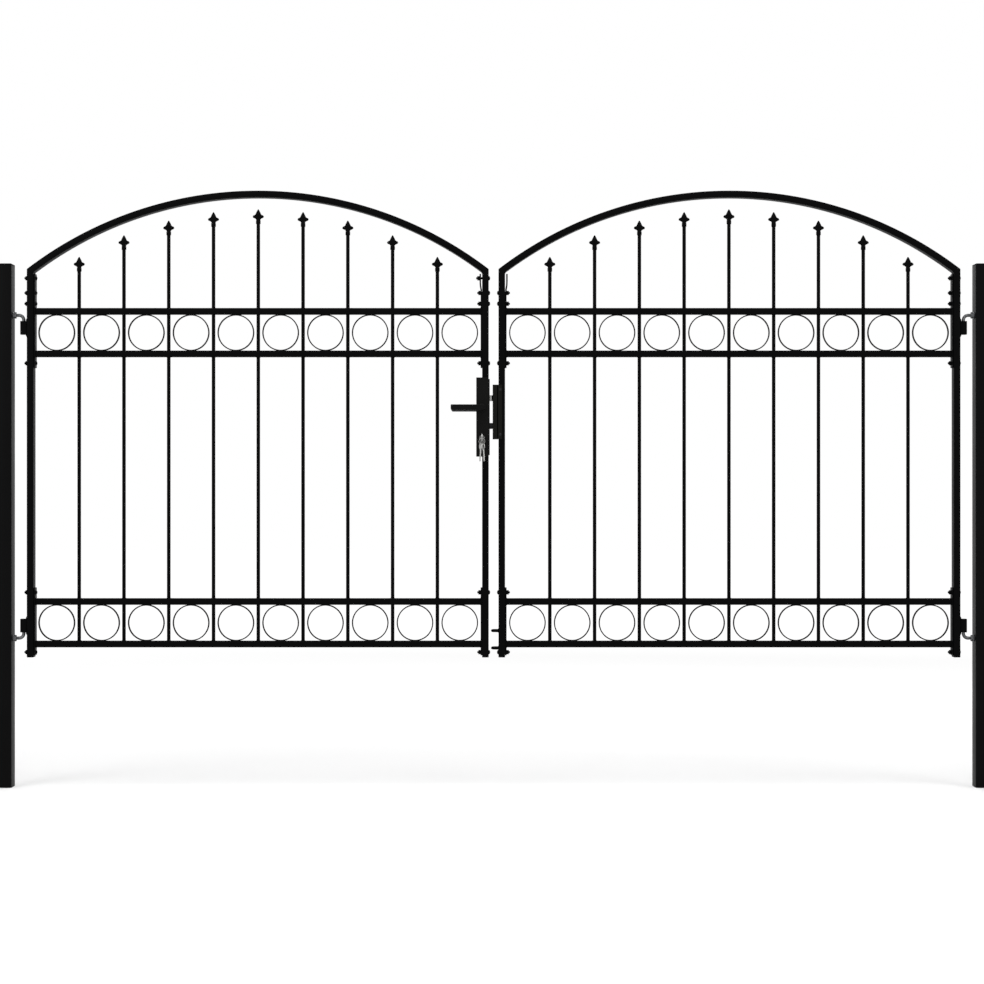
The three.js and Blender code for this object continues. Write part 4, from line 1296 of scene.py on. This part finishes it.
neck_start = case_high.y + ROSE_THICKNESS + NECK_GAP
neck_end = lever_high.y - LEVER_THICKNESS + MM
profile = [
    (-neck_end, LEVER_NECK + 0.6 * MM),
    (-neck_end + 5 * MM, LEVER_NECK - 0.4 * MM),
    (-neck_start - 3 * MM, LEVER_NECK),
    (-neck_start - 0.8 * MM, LEVER_NECK + 1.2 * MM),
    (-neck_start, LEVER_NECK + 0.6 * MM),
    (-neck_start, SPINDLE_RADIUS),
]
profile += [(-distance, radius) for distance, radius in reversed(profile)]
solids = [spun(profile, "y", spindle, 40)]
neck_z = spindle_z - LEVER_NECK
for y in (-neck_start - GRUB_PLACE, neck_start + GRUB_PLACE):
    grub = [(neck_z + 0.2 * MM, GRUB), (neck_z - 0.3 * MM, GRUB * 0.85)]
    solids.append(spun(grub, "z", (spindle_x, y), 16))
necks = assemble("lever_necks", solids, lever_black, arris=0)
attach(necks, "lever")

# ---------------------------------------------------------------- key cylinder and keys
# A nickelled profile cylinder that stands a little proud of the case; its round plug turns with the key.
# The key wears a split ring, and two spare keys of stamped steel hang from it.

PLUG_RADIUS = 6.4 * MM
PLUG_DEPTH = 26 * MM
PLUG_SPARE = 0.1 * MM
PLUG_SHY = 0.2 * MM
KEY_SLOT = 0.3 * MM
KEY_THICKNESS = 2.6 * MM
KEY_BLADE_THIN = 0.15 * MM
KEYWAY_END = 0.5 * MM
KEY_BOW = 15 * MM
KEY_EYE = 3 * MM
KEY_BLADE = 3 * MM
WIRE = 0.6 * MM
RING_HANG = KEY_EYE - WIRE - 0.4 * MM
RING_TURNS = 2
RING_STEPS = 48
RING_START = 0.7
RING_ASIDE = WIRE * 1.05
RING_CROSSING = 0.125
# key teeth, as pairs of how far along the blade and how far down it
KEY_TEETH = [
    (7, 2.6), (8.6, 0.9), (10.4, 0.9), (11.6, 2.4), (13, 1.1),
    (14.6, 1.1), (15.8, 2.5), (17.2, 0.6), (18.6, 0.6), (20, 2.2),
]
SPARE_THICKNESS = 2.2 * MM
SPARE_BOW = 10 * MM
SPARE_EYE = 2.75 * MM
SPARE_EYE_EDGE = 2.5 * MM
SPARE_HANG = SPARE_EYE - WIRE - 0.9 * MM
SPARE_BLADE = 39 * MM
SPARE_WIDTH = 8 * MM
SPARE_SPREAD = 3.4 * MM
SPARE_SPLAY = 0.06
SPARE_TWIST = 0.42
# cuts of a spare key, as pairs of how far below its head and how far in
SPARE_CUTS = [
    (4, 0.5), (7, 2.4), (9, 2.4), (11, 1.0), (14, 2.8),
    (16, 2.8), (18, 0.8), (22, 1.9), (24, 1.9), (27, 0.6),
]

key_low, key_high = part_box("key")
ring_low, ring_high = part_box("key_ring")
ring_x, eye_y, ring_z = middle_of("key_ring")


def cylinder_metal(start):
    """Dark nickel gone dull, with turning marks round its face."""
    patch = start.grain(300, 3, 0.6)
    return {
        "Base Color": patch.between((0.13, 0.13, 0.13, 1), (0.2, 0.198, 0.19, 1)),
        "Metallic": 1.0,
        "Roughness": 0.36 + 0.16 * patch,
        "Normal": start.grain(1400, 2).raised(0.2, 0.05 * MM),
    }


dark_nickel = finish_named("dulled_dark_nickel", cylinder_metal)
barrel = prism(cylinder_outline(), "y", barrel_low.y, barrel_high.y, barrel_at)
bore = circle(PLUG_RADIUS + PLUG_SPARE, 40)
bore = prism(bore, "y", barrel_low.y - MM, barrel_low.y + PLUG_DEPTH, barrel_at)
body = assemble("cylinder_barrel", [less(barrel, bore)], dark_nickel, arris=0.5 * MM)
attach(body, "left_leaf")
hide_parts("key_cylinder")

face = barrel_low.y + PLUG_SHY
plug_profile = [
    (face, PLUG_RADIUS - 0.5 * MM),
    (face + 0.5 * MM, PLUG_RADIUS),
    (face + PLUG_DEPTH - MM, PLUG_RADIUS),
]
keyway = rounded(KEY_THICKNESS + 2 * KEY_SLOT, 2 * KEY_BLADE + 2 * KEY_SLOT, 0.4 * MM)
slot = prism(keyway, "y", face - MM, key_high.y + KEYWAY_END, barrel_at)
plug_solid = less(spun(plug_profile, "y", barrel_at, 40), slot)
plug = assemble("cylinder_plug", [plug_solid], dark_nickel, arris=0.2 * MM)
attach(plug, "key")


def key_steel(start):
    """Stamped and tumbled key steel, bright on its faces and scratched from use."""
    scratch = start.grain(700, 4, 0.7, stretch=(1, 0.2, 1))
    soiled = start.grain(260, 4, 0.6).within(0.5, 0.75)
    return {
        "Base Color": soiled.between((0.4, 0.4, 0.39, 1), (0.25, 0.245, 0.235, 1)),
        "Metallic": 1.0,
        "Roughness": 0.24 + 0.16 * scratch + 0.1 * soiled,
        "Normal": scratch.raised(0.25, 0.05 * MM),
    }


bright = finish_named("tumbled_key_steel", key_steel)
key_x = middle_of("key")[0]
bow_y = key_low.y + KEY_BOW
start, stop = key_x - KEY_THICKNESS / 2, key_x + KEY_THICKNESS / 2
disc = prism(circle(KEY_BOW, 40), "x", start, stop, (bow_y, barrel_z))
bow = less(disc, prism(circle(KEY_EYE, 24), "x", start - MM, stop + MM, (eye_y, barrel_z)))
blade = [(bow_y, -KEY_BLADE), (face - 2 * MM, -KEY_BLADE)]
blade += [(face + along * MM, -depth * MM) for along, depth in KEY_TEETH]
blade += [
    (key_high.y - MM, -KEY_BLADE * 0.5),
    (key_high.y, 0),
    (key_high.y - 2.4 * MM, KEY_BLADE),
    (bow_y, KEY_BLADE),
]
blade = prism(blade, "x", start + KEY_BLADE_THIN, stop - KEY_BLADE_THIN, (0, barrel_z))
gate_key = assemble("gate_key", [bow, blade], bright, arris=0.35 * MM)
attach(gate_key, "key")
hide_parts("key")

# the ring rests on the lower edge of the eye in the key
ring_z -= RING_HANG
ring_radius = (ring_high.x - ring_low.x) / 2 - 2 * WIRE
path = []
for i in range(RING_TURNS * RING_STEPS + 1):
    turn = i / RING_STEPS
    angle = 2 * math.pi * turn + RING_START
    y = eye_y + RING_ASIDE * max(-1, min(1, (turn - 1) / RING_CROSSING))
    x, z = ring_x + ring_radius * math.cos(angle), ring_z + ring_radius * math.sin(angle)
    path.append(Vector((x, y, z)))
outlines = [circle(WIRE, 10)] * len(path)
ring = assemble("split_ring", [swept(path, THROUGH, outlines)], bright, arris=0)
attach(ring, "key_bunch")
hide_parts("key_ring")


def spare_key(side_x):
    """Spare key hanging by its eye, splayed and turned a little to one side."""
    drop = SPARE_BOW - SPARE_EYE - SPARE_EYE_EDGE
    half = SPARE_THICKNESS / 2
    disc = prism(circle(SPARE_BOW, 32), "x", -half, half, (0, -drop))
    disc = less(disc, prism(circle(SPARE_EYE, 20), "x", -half - MM, half + MM))
    top = -drop - SPARE_BOW + 2 * MM
    edge = SPARE_WIDTH / 2
    blade = [(-edge, top + 3 * MM), (edge, top + 3 * MM)]
    blade += [(edge - depth * MM, top - along * MM) for along, depth in SPARE_CUTS]
    tip = top - SPARE_BLADE
    blade += [(edge - 2 * MM, tip + 2 * MM), (0, tip), (-edge, tip + 3 * MM)]
    shaft = prism(blade, "x", -half + KEY_BLADE_THIN, half - KEY_BLADE_THIN)
    lift = math.sqrt(ring_radius ** 2 - SPARE_SPREAD ** 2)
    place = Vector((ring_x + side_x * SPARE_SPREAD, eye_y, ring_z - lift - SPARE_HANG))
    turn = Matrix.Rotation(-side_x * SPARE_SPLAY, 4, "Y") @ Matrix.Rotation(SPARE_TWIST, 4, "Z")
    return [([place + turn @ point for point in points], faces) for points, faces in (disc, shaft)]


for number, side_x in ((1, -1), (2, 1)):
    spare = assemble(f"spare_key_{number}_blank", spare_key(side_x), bright, arris=0.3 * MM)
    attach(spare, "key_bunch")
    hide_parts(f"spare_key_{number}")

# ---------------------------------------------------------------- keeper
# Folded steel box on the right meeting stile, with a pocket for each bolt and a flange over the front.
# It has the lock's enamel, gone slightly brown, and two countersunk screws hold its flange.

KEEPER_FLANGE = 2.5 * MM
KEEPER_GAP = 0.3 * MM
FLANGE_LAP = 4 * MM
POCKET_BACK = 2 * MM
KEEPER_SCREW_ASIDE = 5.5 * MM
KEEPER_SCREW_INSET = 14 * MM


def browned_black(start):
    """The lock's enamel, with a warm brown cast in clouds."""
    cloud = start.grain(35, 4)
    return {
        "Base Color": cloud.between((0.0035, 0.0034, 0.0026, 1), (0.0052, 0.005, 0.0038, 1)),
        "Roughness": 0.42 + 0.16 * cloud,
        "Specular IOR Level": 0.06,
        "Normal": start.grain(1500, 2).raised(0.05, 0.08 * MM),
    }


keeper_finish = finish_named("browned_black_enamel", browned_black)
low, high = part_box("keeper")
front = low.y
stile_face = right.meet_x - KEEPER_GAP
outline = rounded(stile_face - low.x, high.y - front, MM)
block = prism(outline, "z", low.z, high.z, ((low.x + stile_face) / 2, (front + high.y) / 2))
block = cut_in_turn(block, bolt_slots(stile_face - POCKET_BACK, low.x - MM))
outline = rounded(high.x - stile_face + FLANGE_LAP, high.z - low.z, 2 * MM)
place = ((high.x + stile_face - FLANGE_LAP) / 2, middle_of("keeper")[2])
flange = prism(outline, "y", front, front + KEEPER_FLANGE, place)
heights = (low.z + KEEPER_SCREW_INSET, high.z - KEEPER_SCREW_INSET)
screws_at = [(high.x - KEEPER_SCREW_ASIDE, z) for z in heights]
flange = cut_in_turn(flange, [countersink("y", front, -1, at, KEEPER_FLANGE + MM) for at in screws_at])
box = assemble("keeper_box", [block, flange], keeper_finish, arris=0.6 * MM)
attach(box, "right_leaf")
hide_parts("keeper")

solids = [countersunk_screw("y", front, -1, at) for at in screws_at]
screws = assemble("keeper_screws", solids, blacked, arris=0)
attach(screws, "right_leaf")

# ---------------------------------------------------------------- rod guides
# Two loops of 9 mm round steel welded to the right meeting stile, one above the other, for a drop rod.
# They have the leaf's powder coat, and no rod is fitted.

GUIDE_RADIUS = 4.5 * MM
GUIDE_STEPS = 16
GUIDE_BEAD = 1.3 * MM
GUIDE_BEAD_OUT = 0.6 * MM

for end in ("upper", "lower"):
    low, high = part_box(f"{end}_rod_guide")
    height = middle_of(f"{end}_rod_guide")[2]
    bend = high.y - GUIDE_RADIUS
    bend_x = low.x + GUIDE_RADIUS + bend
    outline = [(high.x, -bend)]
    outline += arc(bend, -math.pi / 2, -1.5 * math.pi, GUIDE_STEPS, (bend_x, 0))
    outline.append((high.x, bend))
    path = laid(outline, "z", height)
    solids = [swept(path, UP, [circle(GUIDE_RADIUS, 20)] * len(path))]
    for y in (-bend, bend):
        seam = laid(circle(GUIDE_RADIUS + GUIDE_BEAD_OUT, 24), "x", right.meet_x, (y, height))
        solids.append(bead(seam, ACROSS, GUIDE_BEAD, closed=True))
    guide = assemble(f"{end}_guide_loop", solids, coat, arris=0)
    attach(guide, "right_leaf")
    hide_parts(f"{end}_rod_guide")

# ---------------------------------------------------------------- studio
# A plain white floor and a white room with soft lamps overhead, to either side and behind.
# Camera and mirror rays see clean white. Away from the lamps the floor glows just enough to stay white,
# and round the gate it keeps the faint shadow.

FLOOR_SIZE = 60.0
FLOOR_GREY = 0.82
FLOOR_GLOW = 0.4
GLOW_FROM = 1.0
GLOW_TO = 7.5
ROOM_LIGHT = 0.75
AIM_HEIGHT = 1.0
LAMPS = {
    # name: place beside the middle of the gate, size, power
    "overhead_softbox": ((0.0, -1.6, 4.6), 3.0, 90),
    "left_softbox": ((-3.4, -3.2, 2.8), 2.0, 45),
    "right_softbox": ((3.8, -2.6, 2.2), 2.0, 30),
    "back_softbox": ((0.6, 3.6, 3.4), 2.5, 60),
}

half = FLOOR_SIZE / 2
corners = [(-half, -half, 0), (half, -half, 0), (half, half, 0), (-half, half, 0)]
floor_mesh = bpy.data.meshes.new("floor")
floor_mesh.from_pydata(corners, [], [(0, 1, 2, 3)])
floor = shown("floor", floor_mesh)
floor_finish = bpy.data.materials.new("white_floor")
start = cleared(floor_finish)


def seen_directly(start):
    """1 for rays from the camera, a reflection or through glass, and 0 for those that light the gate."""
    camera = start.node("ShaderNodeLightPath", output="Is Camera Ray")
    glossy = start.node("ShaderNodeLightPath", output="Is Glossy Ray")
    through = start.node("ShaderNodeLightPath", output="Is Transmission Ray")
    return start.maths("MAXIMUM", start.maths("MAXIMUM", camera, glossy), through)


middle_x = (left.hinge_x + right.hinge_x) / 2
matt = start.node("ShaderNodeBsdfDiffuse", None, {"Color": (FLOOR_GREY, FLOOR_GREY, FLOOR_GREY, 1)})
place = start.node("ShaderNodeTexCoord", output="Object")
ends = {0: place, 1: (middle_x, 0, 0)}
away = start.node("ShaderNodeVectorMath", {"operation": "DISTANCE"}, ends, "Value")
fade = away.within(GLOW_FROM, GLOW_TO).between((0, 0, 0, 1), (FLOOR_GLOW, FLOOR_GLOW, FLOOR_GLOW, 1))
glow = start.node("ShaderNodeEmission", None, {"Color": fade, "Strength": 1.0})
lit = start.node("ShaderNodeAddShader", None, {0: matt, 1: glow})
seen = start.node("ShaderNodeMixShader", None, {0: seen_directly(start), 1: matt, 2: lit})
start.node("ShaderNodeOutputMaterial", None, {"Surface": seen})
floor_mesh.materials.append(floor_finish)

world = bpy.data.worlds.new("white_room")
bpy.context.scene.world = world
start = cleared(world)
light = start.node("ShaderNodeBackground", None, {"Color": (1, 1, 1, 1), "Strength": ROOM_LIGHT})
white = start.node("ShaderNodeBackground", None, {"Color": (1, 1, 1, 1), "Strength": 1.0})
room = start.node("ShaderNodeMixShader", None, {0: seen_directly(start), 1: light, 2: white})
start.node("ShaderNodeOutputWorld", None, {"Surface": room})

for name, (place, size, power) in LAMPS.items():
    lamp = bpy.data.lights.new(name, "AREA")
    lamp.shape = "SQUARE"
    lamp.size = size
    lamp.energy = power
    holder = shown(name, lamp)
    holder.location = Vector((middle_x, 0, 0)) + Vector(place)
    aim = Vector((middle_x, 0, AIM_HEIGHT)) - holder.location
    holder.rotation_euler = aim.to_track_quat("-Z", "Y").to_euler()

# ---------------------------------------------------------------- camera
# Level view of the front, from a little over seven metres away.
# It stands at the height of the lower half of the leaves, a few millimetres left of the middle.

EYE = (1.4951, -7.392, 0.902)
LENS = 88.38
SENSOR = 36.0

camera_data = bpy.data.cameras.new("front_camera")
camera_data.sensor_width = SENSOR
camera_data.lens = LENS
camera_data.clip_end = 200.0
camera = shown("front_camera", camera_data)
camera.location = EYE
camera.rotation_euler = (math.pi / 2, 0, 0)
bpy.context.scene.camera = camera
bpy.context.scene.view_settings.view_transform = "Standard"
